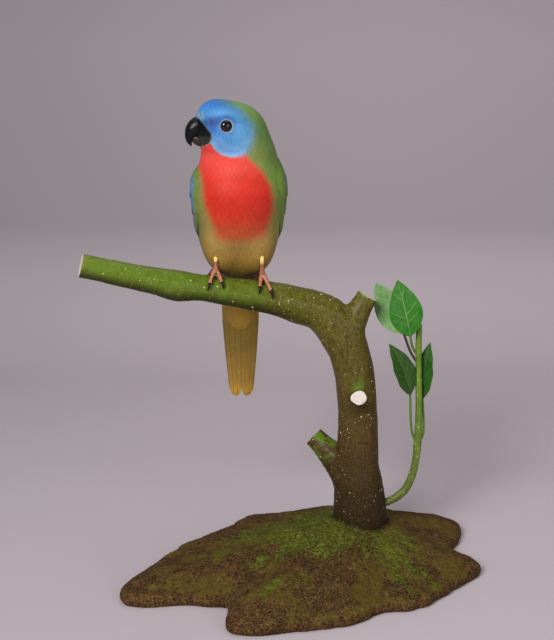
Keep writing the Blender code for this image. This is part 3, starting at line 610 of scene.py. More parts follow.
def grainTree(material):
    floats = ("Grains per m2", "Half length", "Half width", "Half height", "Sink", "Smallest")
    kinds = {"Geometry": "Geometry", **dict.fromkeys(floats, "Float"), "Seed": "Int", "Mask name": "String"}
    grower = Grower("scatteredGrains", kinds, "Grains")
    add, given = grower.add, grower.given
    named = add("GeometryNodeInputNamedAttribute", {"Name": given["Mask name"]}, data_type="FLOAT")
    counts = {0: named.outputs["Attribute"], 1: given["Grains per m2"]}
    density = add("ShaderNodeMath", counts, operation="MULTIPLY").outputs[0]
    inputs = {"Mesh": given["Geometry"], "Density": density, "Seed": given["Seed"]}
    spots = add("GeometryNodeDistributePointsOnFaces", inputs).outputs
    ball = add("GeometryNodeMeshIcoSphere", {"Radius": 1.0, "Subdivisions": 1}).outputs["Mesh"]
    halves = {axis: given[name] for axis, name in enumerate(("Half length", "Half width", "Half height"))}
    sizes = add("ShaderNodeCombineXYZ", halves).outputs[0]
    chance = {2: given["Smallest"], 3: 1.0, "Seed": given["Seed"]}
    share = add("FunctionNodeRandomValue", chance, data_type="FLOAT").outputs[1]
    scale = add("ShaderNodeVectorMath", {0: sizes, "Scale": share}, operation="SCALE").outputs[0]
    spin = add("FunctionNodeRandomValue", {3: 2 * math.pi}, data_type="FLOAT").outputs[1]
    spun = add("FunctionNodeEulerToRotation", {0: add("ShaderNodeCombineXYZ", {2: spin}).outputs[0]}).outputs[0]
    turns = {0: spots["Rotation"], 1: spun}
    rotation = add("FunctionNodeRotateRotation", turns, rotation_space="LOCAL").outputs[0]
    inputs = {"Points": spots["Points"], "Instance": ball, "Rotation": rotation, "Scale": scale}
    placed = add("GeometryNodeInstanceOnPoints", inputs).outputs[0]
    drop = add("ShaderNodeCombineXYZ", {2: given["Sink"]}).outputs[0]
    sunk = add("GeometryNodeTranslateInstances", {"Instances": placed, "Translation": drop}).outputs[0]
    grower.finish(sunk, material)
    return grower


def scatterGrains(name, source, mask, look, material, slot):
    helper = linked(name + "Helper", source.data.copy())
    length, width, height = look["half"]
    values = {
        "Grains per m2": look["perCm2"] * 1e4, "Half length": length * mm, "Half width": width * mm,
        "Half height": height * mm, "Sink": -look["sink"] * height * mm, "Smallest": look["smallest"],
        "Seed": look["seed"], "Mask name": mask,
    }
    mesh = grainTree(material).grown(helper, values, material)
    bpy.data.objects.remove(helper, do_unlink=True)
    mesh.name = name
    print(name, len(mesh.polygons), "faces")
    return keep(linked(name, mesh), slot)


# Ground base

baseLook = {
    "reach": 129.0, "middle": (-30.0, -25.0), "edge": 6.5, "top": 22.0,
    "columns": 460, "rings": 96, "crumb": 0.42,
    # how the brim falls to the underside: share of the reach, part of the height
    "brim": ((0.982, 0.93), (0.993, 0.8), (1.0, 0.6), (1.002, 0.4), (0.999, 0.22), (0.993, 0.08), (0.985, 0.0)),
    # how likely moss is by the distance from the trunk
    "mossy": ((10, 24, 60, 105, 140), (0.0, 0.4, 0.2, -0.06, -0.4)),
    # greenest streaks: bearing from the trunk, where they start and end, half width
    "streaks": (
        (190, 20, 100, 13.0), (203, 40, 116, 11.0), (218, 26, 92, 10.0), (235, 94, 120, 5.0),
        (176, 20, 84, 11.0), (232, 20, 60, 16.0), (250, 18, 50, 14.0), (272, 20, 50, 14.0),
        (290, 20, 60, 12.0), (301, 46, 90, 5.5), (288, 60, 92, 4.5), (318, 20, 50, 12.0),
        (70, 20, 60, 10.0), (120, 20, 52, 10.0), (150, 20, 56, 9.0),
    ),
}
baseLumps = ((17.0, 1.5, 63.0), (8.0, 0.9, 73.0))  # how far apart, how high, seed
baseOutline = (
    (0, 0.78), (12, 0.715), (26, 0.87), (36, 0.89), (56, 0.77), (80, 0.70), (104, 0.62),
    (122, 0.65), (144, 0.61), (176, 0.745), (190, 0.865), (202, 1.0), (208, 0.92),
    (214, 0.74), (226, 0.62), (232, 0.67), (238, 0.77), (246, 0.77), (262, 0.67),
    (284, 0.62), (300, 0.57), (314, 0.64), (330, 0.67), (344, 0.74), (354, 0.81),
)
baseRidges = (
    (200, 15.0, 4.0), (240, 16.0, 3.5), (276, 12.0, 2.0), (352, 13.0, 3.0), (35, 15.0, 2.5), (170, 12.0, 2.0),
)


def baseReach(bearings):
    stations = list(baseOutline)
    looped = [(b - 360, r) for b, r in stations[-2:]] + stations + [(b + 360, r) for b, r in stations[:2]]
    line = smoothPath([(b, 0.0, 0.0, r) for b, r in looped], 720)
    return baseLook["reach"] * np.interp(bearings % 360, line[:, 0], line[:, 3])


def groundHeight(x, y, share):
    toTrunk = np.hypot(x, y)
    offTrunk = np.minimum(1.0, toTrunk / (1.25 * trunkLook["diameter"]))
    swell = (1 - share**2.4) * (0.42 + 0.58 * hill(toTrunk, 0, 2 * trunkLook["diameter"]))
    height = baseLook["edge"] + (baseLook["top"] - baseLook["edge"]) * swell
    for toward, spread, rise in baseRidges:
        reach, turn = baseReach(np.array(float(toward))), math.radians(toward)
        endX = baseLook["middle"][0] + reach * math.cos(turn)
        endY = baseLook["middle"][1] + reach * math.sin(turn)
        along = np.clip((x * endX + y * endY) / (endX**2 + endY**2), 0, 1)
        off = np.hypot(x - along * endX, y - along * endY)
        height += rise * hill(off, 0, spread) * np.minimum(1.0, 4 * (1 - share)) * offTrunk
    lumps = np.array([
        sum(rise * noise.noise(Vector((across, back, seed)) / size) for size, rise, seed in baseLumps)
        for across, back in zip(x, y)
    ])
    return height + lumps * np.minimum(1.0, 3 * (1 - share) + 0.25) * offTrunk


def groundFinish():
    soil = Finish("ground", Specular_IOR_Level=0.12)
    clod = soil.grain(0.007, 4.0, 0.62)
    grit = soil.grain(0.0013, 3.0, 0.7)
    hatch = soil.grain(1.0, 3.0, 0.6, place=soil.read("fan", "Vector"))
    brown = soil.paints(clod, (0.3, 66, 46, 27), (0.5, 80, 57, 34), (0.7, 91, 68, 42))
    speckled = soil.toned(brown, grit, (0.37, 0.2, 0.19, 0.18), (0.6, 1.62, 1.55, 1.46))
    hatched = soil.toned(speckled, hatch, (0.36, 0.78, 0.78, 0.78), (0.62, 1.14, 1.13, 1.1))
    broken = soil.scaled(grit, 3.2, -1.6)
    frayed = soil.scaled(hatch, 2.2, -1.1)
    golden = soil.step(soil.sums("ADD", soil.read("gold"), frayed), 0.2, 0.95, 0.0, 0.6)
    olive = soil.blend(golden, hatched, soil.blend(grit, shade(70, 56, 16), shade(112, 96, 34)))
    tint = soil.paints(soil.grain(0.0022, 3.0, 0.6), (0.34, 46, 54, 12), (0.64, 104, 120, 34))
    ragged = soil.sums("ADD", soil.read("moss"), soil.sums("ADD", broken, frayed))
    green = soil.blend(soil.step(ragged, 0.25, 1.15, 0.0, 0.8), olive, tint)
    # painted shade: a dark ring on the ground round the trunk's foot
    foot = soil.blend(soil.read("foot"), green, shade(34, 26, 14))
    height = soil.scaled(grit, 0.7, soil.scaled(hatch, 0.6, clod))
    return soil.done(foot, 0.95, soil.bump(height, 0.75, 0.9))


# Moss lies in streaks that run out from the trunk, thickest at the back left and in front.
def groundValues(points):
    away = np.hypot(points[:, 0], points[:, 1])
    angle = np.arctan2(points[:, 1], points[:, 0])
    wander = angle + 0.25 * softNoise(points * (1, 1, 0), 22, 30)
    fan = np.stack([np.cos(wander) * 60, np.sin(wander) * 60, away / 3.2], -1)
    streaks = softNoise(fan, 4.2, 31) + 0.5 * softNoise(fan * (1, 1, 0.8), 2.0, 34)
    patches = softNoise(points * (1, 1, 0), 26, 32) + 0.5 * softNoise(points * (1, 1, 0), 9, 33)
    nearness = np.interp(away, *baseLook["mossy"]) - 0.45 * ease(np.cos(angle - 0.1), 0.35, 0.9)
    lines = np.zeros(len(points))
    for bearing, near, far, wide in baseLook["streaks"]:
        off = (angle - math.radians(bearing) + math.pi) % (2 * math.pi) - math.pi
        run = ease(away, near - 8, near + 6) * (1 - ease(away, far - 10, far + 4))
        lines = np.maximum(lines, run * hill(off * away, 0, wide))
    onTop = ease(points[:, 2], 2.5, 8.0)
    likely = 0.28 * patches + 0.3 * streaks + nearness + 0.75 * lines
    return {
        "moss": ease(likely, -0.15, 1.3) * onTop * ease(away, 15, 20),
        "gold": ease(softNoise(points * (1, 1, 0), 18, 35) + 0.5 * streaks + 0.35, 0.0, 1.1) * onTop,
        # painted shade round the trunk's foot
        "foot": (1 - ease(away, 17.5, 23)) * 0.8,
        "grains": 0.4 + 0.6 * onTop,
        # short strokes that run out from the trunk
        "fan": np.stack([np.cos(angle) * 30, np.sin(angle) * 30, away / 5.0], -1),
    }


def makeBase():
    count, crumb = baseLook["columns"], baseLook["crumb"]
    middleX, middleY = baseLook["middle"]
    bearings = np.arange(count) * 360 / count
    turns = np.radians(bearings)
    outward = np.stack([np.cos(turns), np.sin(turns), np.zeros(count)], -1)
    circle = outward * 40
    reach = baseReach(bearings) * (1 + 0.010 * softNoise(circle, 5.0, 21) + 0.007 * softNoise(circle, 2.2, 22))
    shares = np.linspace(0.012, 0.965, baseLook["rings"])
    rings = []
    for share, part in [*((share, None) for share in shares), *baseLook["brim"]]:
        x = middleX + reach * share * np.cos(turns)
        y = middleY + reach * share * np.sin(turns)
        if part is None:
            brim = height = groundHeight(x, y, share)
        else:
            height = brim * part
        rings.append(np.stack([x, y, height], -1))
    rings = np.array(rings)
    crumbs = np.abs(softNoise(rings, 3.2, 13)) + 0.7 * softNoise(rings, 1.7, 14)
    crumbs = crumbs + 0.6 * softNoise(rings, 6.0, 15)
    nearTrunk = ease(np.hypot(rings[..., 0], rings[..., 1]), 12, 22)
    floorFade = ease(rings[..., 2], 0.0, 2.0)
    top = len(shares)
    rings[:top, :, 2] += (crumb * crumbs * (0.4 + 0.6 * nearTrunk))[:top]
    rings[top:] += (0.6 * crumb * crumbs * floorFade)[top:, :, None] * outward
    points = rings.reshape(-1, 3)
    faces = ringFaces(len(rings), count)
    faces += capFaces(count, len(points), (len(rings) - 1) * count, len(points) + 1, inwards=True)
    points = np.vstack([points, points[:count].mean(0), (middleX, middleY, 0.0)])
    shape = {"points": points, "faces": faces, **groundValues(points)}
    ground = addMesh("groundBase", shape, groundFinish())
    print("ground", len(ground.data.polygons), "faces")
    return keep(ground, "ground", "ground_base")


# Bird: the same masses as the solid, a little fuller at the lower thighs, at a finer grain

birdLook = {"reach": 77.8, "turn": 1.0, "headTurn": 72.0, "clearance": 1.2, "armRadius": 8.9}
skullMiddle = np.array((-5.0, -3.6, 89.2))
skullSize = np.array((21.6, 15.8, 16.3))
faceMiddle = np.array((-6.2, -3.6, 90.2))  # beak, eyes and face paint are placed from here
# Middle, half sizes, turn and lean of each mass. The last two fill the lower thighs.
bodyMasses = (
    ((-0.3, 7, 30), (25, 20.2, 25.5), 0, 22), ((0, 1, 49), (26.3, 23, 23.9), 0, 8),
    ((0, 8, 59.7), (25, 19, 23.8), 0, 10), ((0.9, 2.3, 74.9), (20.2, 17.1, 17.5), 0, 0),
    ((0, 22, 8), (16, 12, 24), 0, 28), ((0, 14, 10), (14.5, 12.5, 12), 0, 25),
    ((0, 31, -18), (12, 6.5, 26), 0, 19), ((-13.7, 0, 18.7), (6.9, 8, 9.7), 0, 0),
    ((13.1, 0, 18.7), (6.9, 8, 9.7), 0, 0), ((-14, -6, 97.2), (7.6, 7.6, 7.6), 0, 0),
    ((-10.2, 3.5, 11.5), (5.6, 7.0, 7.2), 0, 0), ((10.2, 3.5, 11.5), (5.6, 7.0, 7.2), 0, 0),
)
massBlend = 9.0
spine = ((0, 34, -34), (0, 28, -14), (0, 20, 5), (0, 10, 28), (0, 4, 52), (-1, 1, 72), (-5.5, -2.5, 88))


def turned(points, degrees):
    turn = math.radians(degrees)
    x, y, z = np.moveaxis(np.asarray(points, float), -1, 0)
    return np.stack([math.cos(turn) * x - math.sin(turn) * y, math.sin(turn) * x + math.cos(turn) * y, z], -1)


def placeBird(points):
    middle, radius, *_ = armAt(-birdLook["reach"])
    lift = np.array([0.0, radius - birdLook["armRadius"], radius + birdLook["clearance"]])
    return turned(points, birdLook["turn"]) + middle + lift


headTurn = math.radians(birdLook["headTurn"] + birdLook["turn"])
headForward = np.array([-math.sin(headTurn), -math.cos(headTurn), 0.0])
headLeft = np.array([-headForward[1], headForward[0], 0.0])
headAxes = np.array([headForward, headLeft, (0.0, 0.0, 1.0)])


def headPoint(forward, left, up):
    return faceMiddle + np.array([forward, left, up]) @ headAxes


def ellipsoidDepth(points, middle, axes, sizes):
    local = (points - middle) @ np.array(axes).T
    plain = np.linalg.norm(local / sizes, axis=-1)
    steep = np.linalg.norm(local / np.square(sizes), axis=-1)
    return plain * (plain - 1) / np.maximum(steep, 1e-9)


def bodyDepth(points):
    found = ellipsoidDepth(points, skullMiddle, headAxes, skullSize)
    for middle, sizes, turn, lean in bodyMasses:
        a, b = math.radians(turn), math.radians(lean)
        axes = (
            (math.cos(a), math.sin(a), 0.0),
            (-math.sin(a) * math.cos(b), math.cos(a) * math.cos(b), math.sin(b)),
            (math.sin(a) * math.sin(b), -math.cos(a) * math.sin(b), math.cos(b)),
        )
        other = ellipsoidDepth(points, np.array(middle), axes, np.array(sizes))
        mix = np.clip(0.5 + 0.5 * (other - found) / massBlend, 0, 1)
        found = other + (found - other) * mix - massBlend * mix * (1 - mix)
    return found


def leaveBody(origins, directions):
    near = np.zeros(origins.shape[:-1])
    far = np.full(origins.shape[:-1], 60.0)
    for _ in range(22):
        middle = (near + far) / 2
        inside = bodyDepth(origins + directions * middle[..., None]) < 0
        near, far = np.where(inside, middle, near), np.where(inside, far, middle)
    return far


def skin(share, bearing, lift=0.0):
    share, bearing = np.broadcast_arrays(np.asarray(share, float), np.asarray(bearing, float))
    line = smoothPath(spine, 60)
    along = np.linspace(0, 1, len(line))
    inner = np.clip(share, 0, 1)
    origins = np.stack([np.interp(inner, along, line[:, k]) for k in range(3)], -1)
    slopes = unit(np.gradient(line, axis=0))
    tangents = unit(np.stack([np.interp(inner, along, slopes[:, k]) for k in range(3)], -1))
    right = unit(np.array([1.0, 0, 0]) - tangents * tangents[..., :1])
    front = np.cross(right, tangents)
    turn = np.radians(bearing)[..., None]
    tip = ((share - inner) * math.pi / 2)[..., None]
    directions = np.cos(tip) * (np.cos(turn) * right + np.sin(turn) * front) + np.sin(tip) * tangents
    reach = leaveBody(origins, directions) + lift
    return origins + directions * reach[..., None]


# Distance inside a closed border, negative outside it.
def insideDepth(across, up, border):
    nearest = np.full(across.shape, 1e9)
    inside = np.zeros(across.shape, bool)
    for (ax, ay), (bx, by) in zip(border, border[1:] + border[:1]):
        runX, runY = bx - ax, by - ay
        share = np.clip(((across - ax) * runX + (up - ay) * runY) / (runX**2 + runY**2), 0, 1)
        nearest = np.minimum(nearest, np.hypot(across - ax - share * runX, up - ay - share * runY))
        level = runY if abs(runY) > 1e-9 else 1e-9
        inside ^= ((ay > up) != (by > up)) & (across < runX * (up - ay) / level + ax)
    return np.where(inside, nearest, -nearest)


# Chance from 0 to 1 that is the same on every run for the same two numbers.
def fixedChance(a, b):
    mixed = np.sin(a * 12.9898 + b * 78.233) * 43758.5453
    return mixed - np.floor(mixed)


# Feathers laid like roof tiles: how high the topmost one lies, from 0 at its root to 1 at its tip.
def tiledFeathers(rows, columns, around):
    best = np.zeros(rows.shape)
    for down in range(3):
        row = np.floor(rows) - down
        shift = 0.5 * (row % 2)
        nearest = np.round(columns - shift)
        for side in (-1, 0, 1):
            centre = nearest + side
            offset = columns - centre - shift
            tip = row + 0.3 * fixedChance(row, centre % around) + 1.5 * offset**2
            lift = 1 - (rows - tip) / 2.0
            best = np.maximum(best, np.where((rows >= tip) & (np.abs(offset) < 0.66), lift, 0))
    return best


featherLook = {
    "rings": 150, "crownRings": 56, "columns": 190, "around": 40, "relief": 0.12,
    # where feathers start and how many rows there are, by the share of the spine
    "rows": ((-1, 0, 0.45, 0.75, 1.0, 2.0), (-5, 0, 14, 26, 40, 56)),
    # border of the red breast: bearing in degrees and height; the face lies over its top
    "red": [
        (172, 88.0), (150, 89.0), (125, 88.0), (104, 84.0), (84, 80.0), (70, 76.0), (60, 71.0), (51, 67.3),
        (45, 64.4), (42, 59.7), (41, 53.9), (41, 47.4), (42, 41.9), (46, 34.6), (48, 29.6), (54, 26.2),
        (69, 24.3), (84, 23.2), (99, 22.6), (114, 23.8), (123, 26.4), (126, 33.0), (132, 40.4),
        (138, 47.5), (142, 53.8), (152, 60.4), (168, 64.0), (186, 68.0), (192, 74.0), (186, 82.0),
    ],
    # how ragged that border is, by height
    "redSoft": ((24, 34, 60, 72), (3.2, 2.6, 2.4, 1.4)),
    # border of the blue face: forward and up of the face's middle
    "face": [
        (34, 34), (-30, 34), (-30, -2), (-14.5, -2.0), (-12.1, -6.1), (-9.4, -11.7), (-4.6, -15.7),
        (1.0, -16.6), (6.2, -15.5), (10.6, -12.3), (12.7, -8.8), (34, -8.0),
    ],
    # how soft it is, by place forward: crisp in front
    "rimSoft": ((-12, -7, 0, 6), (5.6, 3.8, 1.1, 0.7)),
    # where the blue fades out at the back of the head: up, forward
    "nape": [(-12, -16.0), (-7, -15.4), (-1.4, -13.4), (5.5, -9.4), (11.7, -4.6), (17.5, 1.0)],
    # dark skin of the beak that shows on the cheek, and the pale skin over it
    "beakSkin": [
        (30, 7.0), (18.8, 6.0), (17.8, 4.2), (16.4, 2.0), (14.8, -0.6), (13.3, -2.8), (12.8, -5.6),
        (13.8, -8.6), (15.4, -10.4), (30, -10.4),
    ],
    "cere": [(30, 9.6), (19.0, 9.2), (16.4, 8.6), (16.4, 6.4), (18.4, 4.4), (20.5, 3.8), (30, 5.0)],
}


def mixTones(value, stops):
    places = [stop[0] for stop in stops]
    tones = np.array([shade(*stop[1:]) for stop in stops])
    return np.stack([np.interp(value, places, tones[:, k]) for k in range(3)], -1)


def towards(tones, other, share):
    return tones + (np.asarray(other) - tones) * np.asarray(share)[..., None]


# Paint of the body: feather colours by height and by how far round to the back a place is.
def bodyPaint(points, bearings):
    z = points[..., 2]
    roundBack = np.abs((bearings - 90 + 180) % 360 - 180)
    onRight = ease(np.cos(np.radians(bearings)), -0.4, 0.4)
    # painted shade: a dark band just above the branch (z -6 to 6) where the belly meets it; below it, painted
    # light over the branch's shadow
    belly = mixTones(z, (
        (-40, 164, 130, 50), (-32, 178, 142, 56), (-24, 194, 154, 64), (-14, 176, 140, 60),
        (-3, 92, 74, 12), (4, 118, 94, 34), (12, 144, 112, 48), (24, 154, 124, 66), (46, 142, 132, 70),
        (90, 112, 132, 66),
    ))
    # the flanks carry the same painted shade just above the branch and painted light below it
    leftFlank = mixTones(z, (
        (-32, 170, 136, 54), (-14, 176, 140, 58), (-6, 100, 80, 22), (6, 100, 82, 28),
        (24, 112, 102, 42), (44, 118, 122, 58), (58, 128, 132, 76), (70, 128, 138, 72),
        (92, 96, 132, 68), (108, 94, 134, 74),
    ))
    # greener on the right, and partly painted light lifting the shade on that side
    rightFlank = mixTones(z, (
        (-32, 170, 136, 54), (-14, 176, 140, 58), (-6, 100, 80, 22), (6, 104, 86, 30),
        (24, 134, 126, 54), (44, 116, 134, 56), (62, 108, 146, 62), (74, 106, 132, 66),
        (88, 98, 128, 64), (108, 108, 148, 76),
    ))
    back = mixTones(z, (
        (-40, 66, 98, 34), (20, 88, 122, 44), (60, 102, 142, 58), (90, 102, 138, 62),
        (108, 106, 148, 76),
    ))
    # the folded flight feathers draw a thin dark line down each side; on the right it is blue-grey and partly
    # painted shade on the side away from the lamps
    onEdge = ease(roundBack, 63, 73) * ease(z, 2, 12) * (1 - ease(z, 40, 52))
    leftFlank = towards(leftFlank, shade(34, 30, 18), 0.9 * onEdge)
    rightEdge = ease(roundBack, 72, 80) * ease(z, 16, 28) * (1 - ease(z, 60, 70))
    rightFlank = towards(rightFlank, shade(48, 60, 66), 0.5 * rightEdge)
    flank = leftFlank + (rightFlank - leftFlank) * onRight[..., None]
    return towards(towards(belly, flank, ease(roundBack, 36, 70)), back, ease(roundBack, 92, 130))


# Red of the breast by height, lighter and pinker at the top, partly a painted highlight.
redTones = (
    (22, 162, 88, 46), (30, 188, 74, 42), (38, 196, 50, 30), (50, 192, 36, 20),
    (60, 202, 47, 31), (68, 216, 66, 56), (74, 226, 76, 64), (84, 222, 58, 46),
)
# Spots of other blues on the face: forward, up, half width, half height, slant, tone, share.
# painted highlight: a pale sky-blue band across the forehead
paintedHighlightSpot = (7.0, 8.4, 7.0, 2.4, 0.0, (104, 160, 212), 0.5)
darkSpots = (
    (13.0, 3.9, 5.4, 3.0, 0.1, (8, 34, 96), 0.98),
    (12.4, -1.5, 3.4, 3.0, 0.0, (34, 84, 158), 0.5),
    (-6.0, 3.5, 5.5, 2.6, 0.0, (60, 118, 184), 0.5),
)


def spotted(tones, forward, up, spot):
    x, y, wide, high, slant, tone, share = spot
    near = np.exp(-(((forward - x) / wide) ** 2) - ((up - y + slant * (forward - 12)) / high) ** 2)
    return towards(tones, shade(*tone), share * near)


# Blue of the face: cheek, brow and crown, the spots, the pale lower rim as a painted highlight, and the darker
# ring inside it.
def facePaint(forward, up, rim):
    brow = mixTones(forward, (
        (-10, 84, 132, 132), (-4, 76, 132, 168), (4, 66, 128, 188), (12, 54, 120, 184),
        (20, 68, 130, 188),
    ))
    cheek = mixTones(forward, (
        (-13, 98, 136, 152), (-8, 88, 142, 184), (-2, 90, 152, 204), (7, 74, 134, 200),
        (14, 58, 108, 182), (20, 50, 98, 172),
    ))
    crown = mixTones(forward, (
        (-8, 86, 128, 84), (2, 66, 118, 140), (9, 46, 102, 178), (18, 52, 112, 190),
    ))
    blue = towards(cheek, brow, ease(up, 0.5, 6.0))
    blue = towards(spotted(blue, forward, up, paintedHighlightSpot), crown, ease(up, 9.6, 14.5))
    for spot in darkSpots:
        blue = spotted(blue, forward, up, spot)
    low = 1 - ease(up, -7.0, -1.0)
    ahead = ease(forward, -9.0, 0.0)
    # painted highlight: paler towards the lower rim
    pale = (1 - ease(rim, 4.0, 8.0)) * low * (0.45 + 0.55 * ahead)
    blue = towards(blue, shade(132, 172, 206), 0.5 * pale)
    ring = hill(rim, 3.4, 1.0) * low * ahead
    blue = towards(blue, shade(76, 134, 200), 0.5 * ring)
    # painted highlight, brightest along the rim's edge
    edge = (1 - ease(rim, 0.8, 2.6)) * low * ahead
    return towards(blue, shade(146, 186, 220), 0.4 * edge)


def makeBody():
    look, columns = featherLook, featherLook["columns"]
    shares = np.concatenate([
        [-0.985, -0.92, -0.84, -0.74, -0.62, -0.48, -0.32, -0.15], np.linspace(0, 1, look["rings"]),
        np.linspace(1, 1.985, look["crownRings"])[1:],
    ])[:, None]
    bearings = np.arange(columns)[None, :] * 360 / columns
    shares, bearings = np.broadcast_arrays(shares, bearings)
    rows = np.interp(shares, *look["rows"])
    feathers = tiledFeathers(rows, bearings * look["around"] / 360, look["around"])
    # smooth round the beak, and a hollow where the eye sits
    soft = skin(shares, bearings)
    nearBeak = np.clip(1.5 - np.linalg.norm(soft - headPoint(24, 0, 2), axis=-1) / 20, 0, 1)
    points = skin(shares, bearings, look["relief"] * feathers * (1 - nearBeak))
    gap, brow, browShare = eyeGaps(points)
    points = points - unit(points - skullMiddle) * (0.9 * (1 - ease(gap, 2.2, 4.0)))[..., None]
    along = np.interp(shares, (-1, 0, 1, 2), (0, 12, 137, 163))
    height = points[..., 2]
    local = (points - faceMiddle) @ headAxes.T
    forward, up = local[..., 0], local[..., 2]
    rim = insideDepth(forward, up, look["face"])
    beakSkin = ease(insideDepth(forward, up, look["beakSkin"]), -0.35, 0.35)
    cere = ease(insideDepth(forward, up, look["cere"]), -1.3, 1.3) * (1 - beakSkin)
    blue = towards(facePaint(forward, up, rim), shade(118, 138, 156), 0.75 * cere)
    upperTone = np.broadcast_to(shade(*beakLook["tone"]), blue.shape)
    hornTone = towards(upperTone, shade(*beakLook["lower"]), 1 - ease(up, -5.2, -4.2))
    values = {
        "flow": np.stack([bearings * 0.40, along, np.zeros(shares.shape)], -1),
        "feather": feathers, "eyeGap": gap, "brow": brow, "browShare": browShare,
        "rim": rim, "rimSoft": np.interp(forward, *look["rimSoft"]),
        "nape": forward - np.interp(up, *np.array(look["nape"]).T),
        "red": insideDepth(bearings * 0.4, height, [(0.4 * b, z) for b, z in look["red"]]),
        "redSoft": np.interp(height, *look["redSoft"]),
        "horn": beakSkin, "bare": beakSkin,
        "basePaint": bodyPaint(points, bearings),
        "facePaint": towards(blue, hornTone, beakSkin),
        "redPaint": mixTones(height, redTones),
    }
    poles = skin(np.array([-1.0, 2.0]), np.array([0.0, 0.0]))
    shape = {"points": placeBird(np.vstack([points.reshape(-1, 3), poles]))}
    last = (len(shares) - 1) * columns
    for key, grid in values.items():
        flat = grid.reshape(-1, *grid.shape[2:])
        shape[key] = np.concatenate([flat, flat[:1], flat[last : last + 1]])
    lowest = len(shape["points"]) - 2
    shape["faces"] = ringFaces(len(shares), columns) + capFaces(columns, lowest, last, lowest + 1)
    return shape


eyeLook = {
    "forward": 4.7, "up": 1.4, "diameter": 7.0, "depth": 4.6, "proud": 1.4, "beads": 34, "bead": 0.3,
    # line of the dark brow: forward and up of the eye
    "brow": ((-5.4, 2.4), (-3.0, 4.6), (0.4, 5.2), (3.6, 4.2), (6.4, 2.6), (9.0, 1.6)),
}


def eyeMiddle(side):
    start = headPoint(eyeLook["forward"], 0, eyeLook["up"])
    look = headLeft * side
    out = leaveBody(start[None], look[None])[0]
    return start + look * (out + eyeLook["proud"] - eyeLook["depth"] / 2), look


# Distance of points from the line of sight of the nearer eye, and from the dark brow over it.
def eyeGaps(points):
    local = (points - faceMiddle) @ headAxes.T
    forward, up = local[..., 0] - eyeLook["forward"], local[..., 2] - eyeLook["up"]
    gap = np.hypot(forward, up) + 40 * ease(9 - np.abs(local[..., 1]), 0, 6)
    line = np.array(eyeLook["brow"])
    nearest, share = np.full(gap.shape, 99.0), np.zeros(gap.shape)
    for i, (a, b) in enumerate(zip(line, line[1:])):
        run = b - a
        at = np.clip(((forward - a[0]) * run[0] + (up - a[1]) * run[1]) / run.dot(run), 0, 1)
        off = np.hypot(forward - a[0] - at * run[0], up - a[1] - at * run[1])
        share = np.where(off < nearest, (i + at) / (len(line) - 1), share)
        nearest = np.minimum(nearest, off)
    return gap, nearest, share


# Wings: rows of feathers, each feather a thin block that stands on the body.
# Share of the spine where a row starts, its ends at the lower and the upper edge, feathers, height.
wingRows = (
    (0.56, 0.24, 0.04, 7, 1.4, "flight"),
    (0.70, 0.40, 0.20, 8, 1.85, "flight"),
    (0.76, 0.53, 0.42, 9, 2.35, "covert"),
    (0.80, 0.62, 0.54, 9, 2.7, "covert"),
    (0.835, 0.70, 0.65, 9, 2.95, "shoulder"),
    (0.865, 0.775, 0.745, 8, 2.75, "shoulder"),
)
wingEdges = np.array((
    (-0.1, -74, -89), (0.05, -58, -88), (0.2, -36, -86), (0.35, -10, -82), (0.5, 10, -78), (0.65, 24, -74),
    (0.76, 22, -68), (0.86, 0, -58), (0.9, -10, -54),
))
wingLook = {
    "rows": 15, "columns": 9, "overlap": 0.34, "tilt": 0.4, "quill": 0.14,
    # how far feathers stand out, by the place across the wing
    "stand": ((-0.02, 0.03, 0.1, 0.75, 1), (0.05, 0.45, 0.92, 1, 0.2)),
    "spine": 125,  # length of the spine in mm
    "barbs": 9.0,  # slant of the barbs
}


# Paint of a wing feather: its place across the wing and along the spine, then along and across itself.
def wingPaint(kind, side, at, share, v, u):
    at, share, v, u = np.broadcast_arrays(at, share, v, u)
    green = np.broadcast_to(shade(98, 122, 50), (*at.shape, 3))
    dark = np.broadcast_to(shade(50, 42, 16), (*at.shape, 3))
    if kind == "flight":
        tones = towards(dark, green, ease(at, 0.5, 0.8))
        edge = (1 - ease(u, 0.08, 0.26)) * (1 - ease(v, 0.8, 1.0))
        edge = edge * (1 - ease(at, 0.45, 0.75)) * ease(at, 0.1, 0.2)
        return towards(tones, shade(54, 84, 128), 0.8 * edge)
    # blue starts behind a narrow green fringe and fades out up the back
    fringe = 0.02 if side < 0 else 0.14
    blue = ease(at, fringe, fringe + 0.06) * (1 - ease(at, 0.34 if kind == "covert" else 0.24, 0.58))
    blue = blue * (1 - ease(share, 0.76, 0.81))
    tones = towards(green, shade(88, 118, 162), 0.9 * blue)
    tones = towards(tones, shade(40, 50, 62), 0.8 * blue * (1 - ease(share, 0.54, 0.66)))
    return towards(tones, shade(38, 56, 84), 0.45 * blue * ease(v, 0.8, 1.0))


